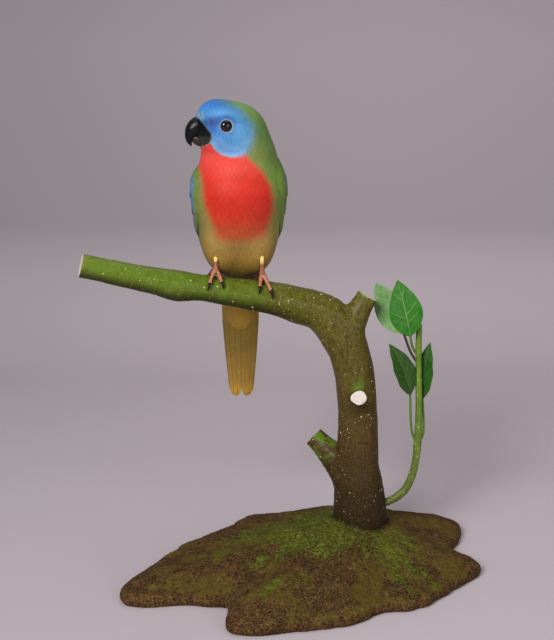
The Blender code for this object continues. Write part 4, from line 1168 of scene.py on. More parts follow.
def makeWing(side):
    shapes = []
    v = np.linspace(0, 1, wingLook["rows"])[:, None] ** 0.85
    u = np.linspace(0, 1, wingLook["columns"])[None, :]
    for rowNumber, (start, lowEnd, highEnd, count, height, kind) in enumerate(wingRows):
        for i in range(count):
            middle = (i + 0.5) / count
            wide = (1 + 2 * wingLook["overlap"]) / count * (1 - 0.45 * ease(v, 0.62, 1.0))
            across = middle + (u - 0.5) * wide
            end = lowEnd + (highEnd - lowEnd) * middle**0.8 + 0.012 * (fixedChance(i, rowNumber) - 0.5)
            reach = v * (1 - 0.13 * (2 * u - 1) ** 2 * ease(v, 0.3, 1.0))
            share = start + (end - start) * reach
            inside = np.clip(across, -0.02, 1.0)
            low = np.interp(share, wingEdges[:, 0], wingEdges[:, 1])
            high = np.interp(share, wingEdges[:, 0], wingEdges[:, 2])
            bearing = low + (high - low) * inside
            if side < 0:
                bearing = 180 - bearing
            fade = np.interp(inside, *wingLook["stand"]) * (0.15 + 0.85 * ease(0.885 - share, 0.0, 0.12))
            rise = np.interp(v, (0, 0.35, 1), (-0.7, 0.86 * height, height)) * fade
            ribs = wingLook["quill"] * hill(u, 0.5, 0.06) - 0.3 * (2 * u - 1) ** 2
            lift = rise + (wingLook["tilt"] * (0.5 - u) + ribs) * ease(v, 0.0, 0.3)
            outer = placeBird(skin(share, bearing, lift))
            inner = placeBird(skin(share, bearing, np.minimum(rise - 1.2, -0.6)))
            shape = sheetSolid(outer, inner)
            slant = np.abs(u - 0.5) * wingLook["barbs"]
            barb = v * (abs(end - start) * wingLook["spine"]) - slant
            flow = np.stack(np.broadcast_arrays(barb, slant, i + 10.0 * rowNumber), -1)
            paint = wingPaint(kind, side, inside, share, v, u)
            # painted shade: darker towards each feather's root, under the row above
            relief = np.broadcast_to(0.3 + 0.7 * v, paint.shape[:2])
            grids = {"flow": flow, "basePaint": paint, "feather": relief}
            for key, grid in grids.items():
                flat = grid.reshape(-1, *grid.shape[2:])
                shape[key] = np.concatenate([flat, flat])
            shapes.append(shape)
    return shapes


# Tail: folded feathers side by side, two round tips with a notch between them.
tailLook = {
    "root": (0, 29, -12), "tip": (0, 56, -91.5), "notch": 0.09, "gap": 0.006,
    "rows": (0, 0.3, 0.6, 1.0), "halfWidth": (12.0, 11.8, 10.4, 7.8), "thickness": (8.0, 5.0, 3.2, 2.2),
}


def makeTail():
    root, tip = np.array(tailLook["root"], float), np.array(tailLook["tip"], float)
    down = unit(tip - root)
    front = np.cross(down, (1.0, 0, 0))
    gap = tailLook["gap"]
    edges = [sign * edge + off for sign in (-1, 1) for edge in (1 / 3, 2 / 3) for off in (-gap, gap)]
    columns = np.unique(np.round(np.concatenate([np.linspace(-1, 1, 49), edges, (-gap, gap)]), 5))[None, :]
    rows = np.unique(np.concatenate([np.linspace(0, 0.85, 26), np.linspace(0.85, 1, 12)]))[:, None]
    middle = np.abs(np.abs(columns) - 0.5) * 2
    at = rows * (1 - tailLook["notch"] * (1 - np.sqrt(np.maximum(0, 1 - middle**2))))
    wide = np.interp(at, tailLook["rows"], tailLook["halfWidth"])
    thick = np.interp(at, tailLook["rows"], tailLook["thickness"])
    feather = (np.abs(columns) * 3) % 1.0
    shingle = np.where((np.abs(columns) > 0.02) & (np.abs(columns) < 0.98), 0.35 - 0.7 * feather, 0.0)
    quill = 0.22 * hill(feather, 0.5, 0.09) * ease(at, 0.1, 0.3)
    roof = -0.9 * columns**2
    thin = 1 - 0.45 * np.abs(columns) ** 3
    line = root + down * np.linalg.norm(tip - root) * at[..., None] + (columns * wide)[..., None] * (1.0, 0, 0)
    outer = line + front * (thick / 2 * thin + roof + 0.3 * (shingle + quill))[..., None]
    inner = line + front * (-thick / 2 * thin + roof + 0.5 * shingle - 0.6 * quill)[..., None]
    shape = sheetSolid(placeBird(outer), placeBird(inner))
    # the side under the tail is ochre with faint lines between feathers, lighter at the root as painted light
    # where the branch's shadow falls; the upper side green
    under = mixTones(at, (
        (0, 168, 134, 54), (0.1, 194, 152, 66), (0.2, 184, 144, 60), (0.32, 140, 112, 43),
        (0.5, 128, 104, 44), (0.7, 146, 114, 52), (0.85, 158, 124, 54), (0.95, 186, 142, 56),
        (1, 150, 118, 54),
    ))
    seam = hill(np.minimum(feather, 1 - feather), 0, 0.07) * ease(0.97 - np.abs(columns), 0, 0.05)
    centreSeam = 0.6 * (np.abs(columns) < 0.1)
    under = towards(under, shade(104, 82, 34), (0.2 + centreSeam) * seam * ease(at, 0.1, 0.3))
    under = towards(under, shade(96, 88, 50), 0.6 * ease(np.abs(columns), 0.84, 1.0) * ease(at, 0.1, 0.4))
    edge = ease(np.abs(columns), 0.62, 0.7)
    green = np.broadcast_to(shade(60, 92, 34), under.shape)
    over = towards(green, shade(150, 138, 48), edge * np.ones(at.shape))
    over = towards(over, shade(38, 54, 30), ease(at, 0.7, 1.0) * (1 - edge))
    patch = np.abs(columns) * 3 // 1 + 50 + 0 * at
    flow = np.stack([columns * wide, at * 83 - 40 * (feather > 0.5), patch], -1)
    shape["flow"] = np.tile(flow.reshape(-1, 3), (2, 1))
    shape["basePaint"] = np.concatenate([under.reshape(-1, 3), over.reshape(-1, 3)])
    shape["feather"] = np.full(len(shape["points"]), 0.7)
    return shape


# Beak: forward and up of the face's middle, half height, half width.
upperBeak = (
    (11, 1.3, 6.4, 6.2), (17.0, 1.0, 6.2, 5.8), (20.9, -1.2, 5.0, 4.8), (23.0, -4.6, 3.1, 3.3),
    (23.3, -7.6, 1.7, 1.9), (22.2, -10.2, 0.4, 0.5),
)
lowerBeak = ((8, -5.2, 5.0, 5.4), (14.0, -6.6, 4.7, 4.9), (18.6, -6.4, 3.6, 3.8), (21.8, -5.0, 1.6, 2.2))
beakLook = {
    # painted highlights: a paler sheen on each mandible's ridge, and the lower mandible painted lighter
    "tone": (8, 8, 8), "sheen": (58, 54, 52), "lower": (44, 43, 36),
    # nostril: forward and up of the face's middle, radius of its ring, thickness, points round and across it
    "nostrilAt": (17.6, 7.8), "nostril": 0.8, "ring": 0.34, "ringCounts": (24, 10),
}


def makeBeak():
    shapes = []
    for stations, sides, tone in ((upperBeak, 36, "tone"), (lowerBeak, 28, "lower")):
        path = np.array([(*headPoint(forward, 0, up), high, wide) for forward, up, high, wide in stations])
        path = smoothPath(path, 48)
        path[:, :3] = placeBird(path[:, :3])
        shape = tube(path, sides)
        count = len(shape["points"])
        shape["horn"] = np.ones(count)
        base = np.broadcast_to(shade(*beakLook[tone]), (count, 3))
        # painted highlight along the ridge near the root
        growth = 1 - ease(shape["drawnShare"], 0.15, 0.6)
        ridge = ease(np.sin(shape["drawnTurn"]), 0.2, 0.9)
        shape["basePaint"] = towards(base, shade(*beakLook["sheen"]), 0.5 * growth * ridge)
        flow = [shape["drawnTurn"] * 2, shape["drawnShare"] * 20, np.full(count, 80.0)]
        shape["flow"] = np.column_stack(flow)
        shapes.append(shape)
    return shapes


def featherFinish():
    paint = Finish("feathers", IOR=1.45, Specular_IOR_Level=0.26, Sheen_Weight=0.03, Sheen_Roughness=0.5)
    flow, horn, bare = paint.read("flow", "Vector"), paint.read("horn"), paint.read("bare")
    base, facial = paint.read("basePaint", "Color"), paint.read("facePaint", "Color")
    hair = paint.grain(1.0, 2.0, 0.6, place=flow, stretch=(2.2, 0.3, 1))
    tuft = paint.grain(1.0, 2.0, 0.5, place=flow, stretch=(0.9, 0.24, 1))
    drift = paint.grain(0.007, 3.0, 0.55)
    fray = paint.sums("ADD", paint.scaled(hair, 3.4, -1.7), paint.scaled(tuft, 3.4, -1.7))
    # the blue face ends at its rim and fades out at the nape
    rim = paint.sums("DIVIDE", paint.scaled(fray, 0.3, paint.read("rim")), paint.read("rimSoft"))
    nape = paint.scaled(fray, 0.9, paint.read("nape"))
    face = paint.times(paint.step(rim, -0.8, 0.8), paint.step(nape, -5.4, 4.6))
    soft = paint.read("redSoft")
    ragged = paint.times(paint.times(fray, soft), 0.7)
    red = paint.step(paint.sums("DIVIDE", paint.sums("ADD", ragged, paint.read("red")), soft), -1.3, 1.3)
    tones = paint.blend(red, base, paint.read("redPaint", "Color"))
    # fine pale hairs low on the breast
    hairs = paint.times(paint.step(hair, 0.6, 0.74), paint.times(paint.step(soft, 2.45, 2.9), red))
    tones = paint.blend(paint.times(hairs, 0.35), tones, shade(226, 150, 120))
    # greener and paler strokes in the blue, none of them on the beak
    strokes = paint.times(paint.step(tuft, 0.5, 0.68), paint.scaled(bare, -0.24, 0.24))
    lighter = paint.times(paint.step(hair, 0.56, 0.72), paint.scaled(bare, -0.22, 0.22))
    blues = paint.blend(strokes, facial, shade(66, 142, 168))
    tones = paint.blend(face, tones, paint.blend(lighter, blues, shade(140, 186, 220)))
    width = paint.step(paint.read("browShare"), 0.0, 0.5, 0.7, 1.4)
    onBrow = paint.step(paint.sums("DIVIDE", paint.read("brow"), width), 0.2, 2.0, 1.0, 0.0)
    tones = paint.blend(paint.times(paint.times(onBrow, face), 0.5), tones, shade(24, 66, 140))
    # a soft shadow and a pale rim round the eye
    ring = paint.read("eyeGap")
    shadow = paint.times(paint.step(ring, 4.0, 5.4, 1.0, 0.0), 0.4)
    tones = paint.blend(shadow, tones, shade(40, 84, 140))
    tones = paint.blend(paint.step(ring, 3.95, 4.3, 1.0, 0.0), tones, shade(120, 140, 168))
    # the barbs show less in the blue and the red
    quiet = paint.scaled(paint.sums("MAXIMUM", face, red), -0.25, 1.0)
    tones = paint.toned(tones, hair, (0.25, 0.84, 0.84, 0.82), (0.75, 1.13, 1.13, 1.13), share=quiet)
    tones = paint.toned(tones, tuft, (0.3, 0.87, 0.87, 0.86), (0.7, 1.1, 1.1, 1.09), share=quiet)
    tones = paint.toned(tones, drift, (0.35, 0.94, 0.94, 0.94), (0.65, 1.06, 1.06, 1.06))
    # painted shade: darker at feather roots under the overlapping row
    overlap = paint.read("feather")
    tones = paint.toned(tones, overlap, (0.2, 0.9, 0.9, 0.89), (0.8, 1.03, 1.03, 1.03), share=quiet)
    # the beak's own skin on the cheek is part of the face paint
    colour = paint.blend(horn, tones, paint.blend(bare, base, facial))
    rough = paint.scaled(horn, -0.28, paint.step(hair, 0.3, 0.7, 0.62, 0.5))
    height = paint.times(paint.scaled(tuft, 0.5, hair), paint.scaled(horn, -0.85, 1.0))
    return paint.done(colour, rough, paint.bump(height, 0.25, 0.3))


# What the wings, tail and beak carry in place of the body's own borders.
farFromBorders = {
    "red": -9.0, "rim": -9.0, "nape": -9.0, "eyeGap": 99.0, "brow": 99.0, "redSoft": 1.0, "rimSoft": 1.0,
}


def makeBird():
    wings = [shape for side in (-1, 1) for shape in makeWing(side)]
    shape = joined([makeBody(), *wings, makeTail(), *makeBeak()])
    offBody = np.all(shape["redPaint"] == 0, axis=1)
    for key, value in farFromBorders.items():
        shape[key][offBody] = value
    bird = addMesh("birdCarving", shape, featherFinish(), crease=55)
    print("bird", sum(len(face.vertices) - 2 for face in bird.data.polygons), "triangles")
    return keep(bird, "feathers", "bird")


def beadFinish():
    bead = Finish("eyeRing", Roughness=0.5)
    return bead.done(bead.blend(bead.grain(0.001), shade(104, 126, 152), shade(164, 180, 196)))


def cereFinish():
    cere = Finish("cere", Roughness=0.5, Specular_IOR_Level=0.3)
    pale = cere.blend(cere.grain(0.0008), shade(112, 122, 132), shade(150, 160, 168))
    return cere.done(cere.blend(cere.read("hole"), pale, shade(16, 16, 20)))


# Beads round each eye, set on a ring of points by Geometry Nodes.
def makeEyeRings():
    rings = []
    for side in (-1, 1):
        middle, look = eyeMiddle(side)
        turns = np.arange(eyeLook["beads"]) * 2 * math.pi / eyeLook["beads"]
        radius = eyeLook["diameter"] / 2 + eyeLook["bead"]
        flat = middle + radius * (np.cos(turns)[:, None] * headForward + np.sin(turns)[:, None] * (0, 0, 1.0))
        inside = flat - look * 6
        out = leaveBody(inside, np.broadcast_to(look, flat.shape))
        rings.append(inside + look * out[:, None])
    mesh = bpy.data.meshes.new("eyeRingBeads")
    mesh.from_pydata(toScene(placeBird(np.vstack(rings))).tolist(), [], [])
    obj = linked("eyeRingBeads", mesh)
    material = beadFinish()
    grower = Grower("beadRing", {"Geometry": "Geometry", "Bead radius": "Float"}, "Beads")
    sizes = {"Subdivisions": 2, "Radius": grower.given["Bead radius"]}
    bead = grower.add("GeometryNodeMeshIcoSphere", sizes).outputs["Mesh"]
    places = {"Points": grower.given["Geometry"], "Instance": bead}
    grower.finish(grower.add("GeometryNodeInstanceOnPoints", places).outputs[0], material)
    obj.data = grower.grown(obj, {"Bead radius": eyeLook["bead"] * mm}, material)
    return keep(obj, "feathers")


def ball(middle, axes, sizes, rings=24, sides=36):
    turns = np.linspace(0, math.pi, rings + 1)[1:-1]
    angles = np.arange(sides) * 2 * math.pi / sides
    wide = np.sin(turns)[:, None]
    unitBall = np.stack([np.cos(turns)[:, None] + 0 * angles, wide * np.cos(angles), wide * np.sin(angles)], -1)
    unitBall = np.vstack([unitBall.reshape(-1, 3), (1, 0, 0), (-1, 0, 0)])
    points = middle + (unitBall * sizes) @ np.array(axes)
    front = len(points) - 2
    caps = capFaces(sides, front, (len(turns) - 1) * sides, front + 1)
    return {"points": points, "faces": ringFaces(len(turns), sides) + caps}


def eyeFinish():
    gloss = {"Specular_IOR_Level": 0.35, "Coat_Weight": 0.2, "Coat_Roughness": 0.03}
    eye = Finish("eyeGlass", Roughness=0.05, IOR=1.5, **gloss)
    iris = eye.read("iris")
    # painted reflection: warm brown low in the iris
    brown = eye.blend(eye.read("low"), shade(10, 7, 6), shade(44, 24, 14))
    outer = eye.blend(eye.step(iris, 0.84, 0.93), brown, shade(6, 6, 7))
    return eye.done(eye.blend(eye.step(iris, 0.55, 0.64), shade(3, 3, 4), outer))


def makeEyes():
    finish = eyeFinish()
    for side, name in ((1, "eye_left"), (-1, "eye_right")):
        middle, look = eyeMiddle(side)
        radius, deep = eyeLook["diameter"] / 2, eyeLook["depth"] / 2
        shape = ball(middle, (look, headForward, (0, 0, 1.0)), (deep, radius, radius))
        offset = shape["points"] - middle
        across = np.hypot(offset @ headForward, offset[:, 2])
        shape["iris"] = across / radius
        # painted reflection in the lower part of the eye
        shape["low"] = ease(-offset[:, 2], -1.0, 3.0)
        shape["points"] = placeBird(shape["points"])
        keep(addMesh("eyeGlass" + name[4:].title(), shape, finish), "eye_glass", name)


# A small ring round each nostril on the skin over the beak, with a dark hole in it.
def makeCere():
    shapes = []
    start = headPoint(beakLook["nostrilAt"][0], 0, beakLook["nostrilAt"][1])
    radius, (around, across) = beakLook["nostril"], beakLook["ringCounts"]
    turns = np.linspace(0, 2 * math.pi, around, endpoint=False)[:, None]
    minor = np.linspace(0, 2 * math.pi, across, endpoint=False)[:, None]
    for side in (-1, 1):
        spots = []
        for ahead, high in ((0, 0), (-radius, 0), (0, radius)):
            origin = start + ahead * headForward + high * np.array((0, 0, 1.0))
            spots.append(origin + headLeft * side * leaveBody(origin[None], headLeft[None] * side)[0])
        out = unit(np.cross(spots[1] - spots[0], spots[2] - spots[0]))
        out = out * np.sign(out @ (spots[0] - skullMiddle))
        flat = unit(np.cross(out, (0, 0, 1.0)))
        other = np.cross(flat, out)
        middle = spots[0] - 0.1 * out
        radial = np.cos(turns) * flat + np.sin(turns) * other
        line = middle + radius * radial
        torus = line[:, None] + beakLook["ring"] * (np.cos(minor) * radial[:, None] + np.sin(minor) * out)
        faces = []
        for i in range(around):
            for j in range(across):
                a, b = (i + 1) % around * across, (j + 1) % across
                faces.append([i * across + j, a + j, a + b, i * across + b])
        plug = ball(middle, (out, flat, other), (0.22, radius, radius), 10, 20)
        for shape, hole in (({"points": torus.reshape(-1, 3), "faces": faces}, 0.0), (plug, 1.0)):
            shape["points"] = placeBird(shape["points"])
            shape["hole"] = np.full(len(shape["points"]), hole)
            shapes.append(shape)
    return keep(addMesh("nostrilRings", joined(shapes), cereFinish()), "feathers")


# Feet
footLook = {
    "spread": 28.0, "leg": 3.0, "toe": 3.0, "gap": 0.3, "mouthBack": -8.3, "mouthUp": 11.8,
    "toeRings": 54, "toeSides": 14, "toeScutes": 15,
    "bare": 0.7,  # share of a toe before its claw
    "legRings": 40, "legSides": 16, "legScutes": 12,
    # girth of a toe along it
    "slim": ((0, 0.2, 0.7, 1), (1.15, 0.96, 0.8, 0.95)),
}
# Toes: in front of the branch or behind it, how far the claw stands outwards, degrees round the branch.
toeForms = {
    "footLeft": ((1, 4.4, 84), (1, -3.4, 74), (-1, 5.4, 88), (-1, -4.8, 80)),
    "footRight": ((1, 6.4, 88), (1, -3.4, 74), (-1, 5.4, 88), (-1, -4.8, 80)),
}


def footHub(side):
    middle, radius, _, up, _ = armAt(-birdLook["reach"] + side * footLook["spread"] / 2)
    return middle + np.array([0, -2.0, (radius + footLook["gap"] + footLook["toe"] * 1.25) / up[2]])


# Rings of scutes along a toe or a leg, 1 on each crest.
def scuteRings(rings, count):
    return np.abs((np.linspace(0, 1, rings) * count) % 1.0 - 0.5) * 2


def makeToe(side, forward, splay, reach):
    footX = -birdLook["reach"] + side * footLook["spread"] / 2
    _, armRadius, _, armUp, _ = armAt(footX)
    thickness = footLook["toe"]
    stations = [(*footHub(side), 0.55 * thickness, 0.0)]
    for share in np.linspace(0.22, 1.0, 12):
        turn = math.radians(reach * share)
        lean = armUp[0] * (armRadius + thickness) * math.cos(turn)
        middle, radius, _, up, front = armAt(footX + splay * share**0.8 - lean)
        claw = max(0.0, (share - 0.72) / 0.28)
        thick = 0.5 * thickness * (1 - 0.12 * share) * (1 - claw) + 0.25 * claw
        lift = (1 - min(1.0, share / 0.5)) ** 2 * thickness * 0.9
        out = radius + footLook["gap"] + 0.1 + thick + lift + 0.9 * math.sin(math.pi * claw) * (claw > 0)
        place = middle + out * (math.cos(turn) * up + forward * math.sin(turn) * front)
        stations.append((*place, thick, share))
    path = smoothPath(stations, footLook["toeRings"])
    shares, sides = path[:, 4], footLook["toeSides"]
    scutes = scuteRings(len(path), footLook["toeScutes"])
    onToe = shares < footLook["bare"]
    pads = 0.12 * np.sin(shares * 13 + side + splay) * onToe
    radius = path[:, 3] * np.interp(shares, *footLook["slim"]) * (1 + 0.07 * scutes * onToe + pads)
    shape = tube(np.column_stack([path[:, :3], radius, radius * 1.04]), sides, hint=(1, 0, 0))
    ringShare = np.repeat(shares, sides)
    shape["claw"] = ease(ringShare, 0.68, 0.73)
    shape["scute"] = np.repeat(scutes, sides)
    shape["hind"] = np.full(len(ringShare), float(forward < 0))
    outward = unit(shape["points"].reshape(len(path), sides, 3) - path[:, None, :3])
    # painted shade on the toe's sides, between the toes
    shape["sole"] = np.abs(outward[..., 0]).ravel() ** 2 * (1 - shape["claw"])
    return shape


def skinFinish():
    foot = Finish("footSkin", IOR=1.45, Specular_IOR_Level=0.3, Subsurface_Weight=0.06, Subsurface_Scale=0.001)
    pink = foot.blend(foot.grain(0.0014, 3.0), shade(150, 92, 66), shade(200, 140, 108))
    hind = foot.blend(foot.read("hind"), pink, shade(112, 60, 40))
    # painted shade on the sides of toes and legs
    sole = foot.blend(foot.step(foot.read("sole"), 0.2, 0.9, 0.0, 0.8), hind, shade(84, 40, 30))
    legs = foot.blend(foot.read("legUp"), sole, shade(240, 212, 122))
    crease = foot.blend(foot.step(foot.read("scute"), 0.0, 0.35, 0.4, 0.0), legs, shade(96, 46, 34))
    claw = foot.read("claw")
    colour = foot.blend(claw, crease, shade(20, 17, 17))
    return foot.done(colour, foot.scaled(claw, -0.25, 0.5), foot.bump(foot.grain(0.0007, 3.0), 0.3, 0.25))


def makeFeet():
    finish = skinFinish()
    rings, sides = footLook["legRings"], footLook["legSides"]
    for side, node in ((1, "foot_left"), (-1, "foot_right")):
        name = "foot" + node[5:].title()
        hub = footHub(side)
        mouth = placeBird(np.array((side * footLook["spread"] / 2, footLook["mouthBack"], footLook["mouthUp"])))
        girths = ((mouth + (0, 3.2, 3.4), 0.74), (mouth, 0.76), ((mouth + hub) / 2, 0.84), (hub, 1.25))
        path = smoothPath([(*place, footLook["leg"] / 2 * girth) for place, girth in girths], rings)
        scutes = scuteRings(rings, footLook["legScutes"])
        path[:, 3] *= 1 + 0.06 * scutes
        leg = tube(path, sides, hint=(1, 0, 0))
        leg["scute"] = np.repeat(scutes, sides)
        leg["legUp"] = 1 - ease(leg["drawnShare"], 0.34, 0.46)
        # painted shade on the leg's sides
        leg["sole"] = 0.7 * ease(np.abs(np.sin(leg["drawnTurn"])), 0.6, 1.0)
        toes = [makeToe(side, forward, splay * side, reach) for forward, splay, reach in toeForms[name]]
        keep(addMesh(name, joined([leg, *toes]), finish), "foot_skin", node)


# Sprig
stemLook = {
    "diameter": 5.2, "tipDiameter": 3.8, "standoff": 37.0, "foot": 34.0, "top": 153.0,
    "knot": 0.36, "stalk": 1.6, "leafThickness": 0.9, "fold": 0.22, "leafRows": 100, "leafColumns": 57,
}
stemForm = (
    (-0.1, -0.004), (0.12, 0.01), (0.43, 0.04), (0.68, 0.088), (0.87, 0.172), (0.95, 0.256),
    (0.985, 0.34), (1.0, 0.47), (0.98, 0.64), (0.955, 0.75), (0.935, 0.86), (0.93, 1.0),
)
# Node, share of the stem, side, stalk's end, leaf's tip, width, facing, bend, then how it is painted.
leafForms = (
    ("leaf_upper_front", 0.835, -1, (-6.4, -6.0, 14.5), (-15.4, -6.0, 50.5), 21.0, (0.02, -0.98, 0.2), 2.0,
     {"tone": (34, 108, 8), "haze": 0.1, "vein": 0.32, "stalk": (86, 120, 40)}),
    # the upper back leaf: its pale tone and full haze are painted sheen, its dark brown stalk painted shade
    ("leaf_upper_back", 0.79, -1, (-9.6, 5.0, 18.8), (-28.0, 8.0, 51.3), 20.0, (-0.3, -0.9, 0.3), -2.0,
     {"tone": (108, 156, 84), "haze": 1.0, "vein": 0.3, "stalk": (58, 50, 28)}),
    ("leaf_lower_left", 0.36, -1, (-6.2, -3.2, 32.0), (-20.6, -4.6, 65.5), 16.4, (0.55, -0.8, 0.2), 2.5,
     {"tone": (38, 74, 14), "haze": 0.06, "vein": 0.08, "stalk": (84, 122, 36)}),
    ("leaf_lower_right", 0.355, 1, (2.8, 3.4, 28.0), (6.9, 4.0, 65.0), 13.5, (-0.62, -0.78, 0.1), 1.5,
     {"tone": (32, 80, 14), "haze": 0.05, "vein": 0.08, "stalk": (84, 122, 36)}),
)


def stemLine():
    middle = trunkAt(stemLook["foot"])
    start = middle[0] + middle[3]
    width, rise = stemLook["standoff"] - start, stemLook["top"] - stemLook["foot"]
    stations = []
    for across, up in stemForm:
        radius = stemLook["diameter"] / 2 + (stemLook["tipDiameter"] - stemLook["diameter"]) / 2 * max(0.0, up)
        knot = 0.15 * radius * hill(up, stemLook["knot"], 0.03)
        back = 0.43 * stemLook["diameter"] * np.clip(across, 0, 1)
        stations.append((start + across * width, back, stemLook["foot"] + up * rise, radius + knot))
    return stations


stemMiddle = smoothPath(stemLine(), 200)


def stemAt(share):
    height = stemLook["foot"] + share * (stemLook["top"] - stemLook["foot"])
    return np.array([np.interp(height, stemMiddle[:, 2], stemMiddle[:, k]) for k in range(4)])


def stemFinish():
    stem = Finish("stemGreen", IOR=1.45, Specular_IOR_Level=0.35)
    low = stem.paints(stem.read("share"), (0.0, 84, 90, 36), (0.25, 92, 108, 40), (0.7, 96, 124, 36))
    # painted glints: small pale flecks over the stem
    paintedGlints = stem.step(stem.grain(0.0012, 2.0, 0.5), 0.6, 0.68, 0.0, 0.7)
    colour = stem.blend(paintedGlints, low, shade(168, 178, 92))
    colour = stem.toned(colour, stem.grain(0.004, 3.0), (0.35, 0.85, 0.85, 0.82), (0.65, 1.1, 1.1, 1.1))
    return stem.done(colour, 0.45, stem.bump(stem.grain(0.0016, 3.0), 0.3, 0.3))


def makeStem():
    path = smoothPath(stemLine(), 120)
    first = path[0, :3] - unit(path[1, :3] - path[0, :3]) * 4
    path = np.vstack([[*first, path[0, 3]], path])
    # a round end
    cap, radius = path[-1, :3], path[-1, 3]
    push = unit(cap - path[-2, :3])
    dome = [(*(cap + push * radius * 0.5 * s), radius * math.sqrt(1 - s * s)) for s in (0.4, 0.7, 0.9, 0.99)]
    path = np.vstack([path, dome])
    path[:, 3] += 0.12 * softNoise(path[:, :3], 5.0, 41) * (path[:, 3] > 1)
    shape = tube(path, 20, hint=(0, 1, 0))
    shape["share"] = shape["drawnShare"]
    return keep(addMesh("sprigStem", shape, stemFinish()), "stem_green", "sprig_stem")


def leafFinish(name, look):
    leaf = Finish(name, IOR=1.45, Specular_IOR_Level=0.24, Subsurface_Weight=0.04, Subsurface_Scale=0.001)
    split = leaf.add("ShaderNodeSeparateXYZ", {0: leaf.read("blade", "Vector")}).outputs
    across = leaf.sums("ABSOLUTE", split[0])
    inBlade = leaf.times(leaf.step(split[1], 0.05, 0.12), leaf.step(split[1], 0.86, 0.95, 1.0, 0.0))
    side = leaf.times(leaf.read("sideVein"), inBlade)
    middle = leaf.step(across, 0.012, 0.055, 1.0, 0.0)
    vein = leaf.sums("MAXIMUM", leaf.times(side, 0.8), middle)
    mottle = leaf.grain(0.003, 4.0, 0.6)
    light = shade(*(min(255, v * 1.12 + 8) for v in look["tone"]))
    dark = shade(*(v * 0.8 for v in look["tone"]))
    green = leaf.blend(mottle, dark, light)
    # painted sheen: a pale whitish haze in patches over the blade
    sheen = leaf.step(leaf.grain(0.009, 2.0, twist=0.8), 0.34, 0.66, 0.0, look["haze"])
    withPaintedSheen = leaf.blend(sheen, green, shade(140, 168, 120))
    veined = leaf.blend(leaf.times(vein, look["vein"]), withPaintedSheen, shade(170, 204, 126))
    colour = leaf.blend(leaf.step(split[1], 0.012, 0.03), shade(*look["stalk"]), veined)
    height = leaf.scaled(vein, -1.0, leaf.times(mottle, 0.25))
    return leaf.done(colour, leaf.scaled(mottle, 0.15, 0.36), leaf.bump(height, 0.4, 0.3))


# A leaf's blade from its base along its middle, with veins that leave the midrib in turn.
def leafBlade(base, along, across, normal, length, width, bend, side):
    rows = np.linspace(0, 1, stemLook["leafRows"])[:, None]
    columns = np.linspace(-1, 1, stemLook["leafColumns"])[None, :]
    away, flat = np.abs(columns), 0 * rows + 0 * columns
    oval = width / 2 * np.sin(math.pi * np.clip(rows, 1e-6, 1 - 1e-9) ** 0.82) ** 0.85
    half = np.maximum(np.maximum(0.7 * (1 - rows), oval), 0.3)
    spineLine = base + along * length * rows[..., None] + normal * (bend * np.sin(math.pi * rows))[..., None]
    edgeWave = 0.35 * np.sin(rows * 21 + side) * away**3 * ease(half, 1.0, 4.0)
    fold = stemLook["fold"] * half * away + edgeWave
    sheet = spineLine + across * (half * columns)[..., None] + normal * fold[..., None]
    sway = 0.12 * softNoise(np.stack([rows * 9 + flat, columns * 3 + flat, flat], -1), 2.0, 51)
    phase = rows * 6.2 - 0.9 * away**0.8 - 0.5 * away**2 + sway + np.where(columns < 0, 0.45, 0.0) + 20
    thin = (0.085 - 0.055 * away) * (0.55 + 0.45 * np.sin(np.floor(phase) * 2.4))
    sideVein = np.clip(1.5 - np.abs(phase % 1.0 - 0.5) / thin, 0, 1)
    sideVein = sideVein * ease(away, 0.0, 0.06) * (1 - ease(away, 0.72, 0.96))
    thick = stemLook["leafThickness"] / 2 * (1.15 - 0.3 * rows) * (1 - 0.55 * away**3)
    rib = 0.34 * hill(columns * half, 0, 0.5)
    swell = 0.14 * np.cos(2 * math.pi * (phase % 1.0)) * away * (1 - away) * 4 * ease(half, 1.5, 5.0)
    top = sheet + normal * (thick - 0.06 * sideVein - swell * 0.5 - 0.2 * rib)[..., None]
    under = sheet - normal * (thick + rib + swell * 0.5 + 0.05 * sideVein)[..., None]
    blade = sheetSolid(top, under)
    place = np.stack(np.broadcast_arrays(columns * ease(half, 0.0, 2.0), 0.03 + 0.97 * rows, 0 * rows), -1)
    blade["blade"] = np.tile(place.reshape(-1, 3), (2, 1))
    blade["sideVein"] = np.tile(sideVein.ravel(), 2)
    return blade


def leafStalk(root, end, tipwards, side):
    middle, radius = root[:3], root[3]
    start = middle + np.array([side * (radius - 1.5), 0, 0])
    elbow = middle + np.array([side * (radius + 0.9), 0.25 * end[1], 3.2])
    finish = middle + np.array(end)
    low = elbow + 0.35 * (finish - elbow) + np.array([side * 0.6, 0, 0])
    places = (start, elbow, low, finish, finish + tipwards)
    path = smoothPath([(*place, stemLook["stalk"] / 2) for place in places], 44)
    path[:, 3] *= np.interp(np.linspace(0, 1, len(path)), (0, 0.1, 0.8, 1), (1.25, 1.0, 0.95, 0.4))
    shape = tube(path, 12, hint=(0, 1, 0))
    intoBlade = ease(shape["drawnShare"], 0.74, 0.9)
    shape["blade"] = np.column_stack([0 * intoBlade, 0.04 * intoBlade, 0 * intoBlade])
    return shape


def makeLeaves():
    for node, share, side, end, tip, width, facing, bend, look in leafForms:
        root = stemAt(share)
        base, point = root[:3] + np.array(end), root[:3] + np.array(tip)
        length = np.linalg.norm(point - base)
        along = unit(point - base)
        normal = unit(np.array(facing, float) - along * np.dot(facing, along))
        across = np.cross(along, normal)
        blade = leafBlade(base - along * 0.8, along, across, normal, length, width, bend, side)
        stalk = leafStalk(root, end, along * 5 + normal * bend * 0.3, side)
        name = "".join(word.title() for word in node.split("_"))
        name = name[0].lower() + name[1:]
        keep(addMesh(name, joined([blade, stalk]), leafFinish(name + "Green", look)), "leaf_green", node)


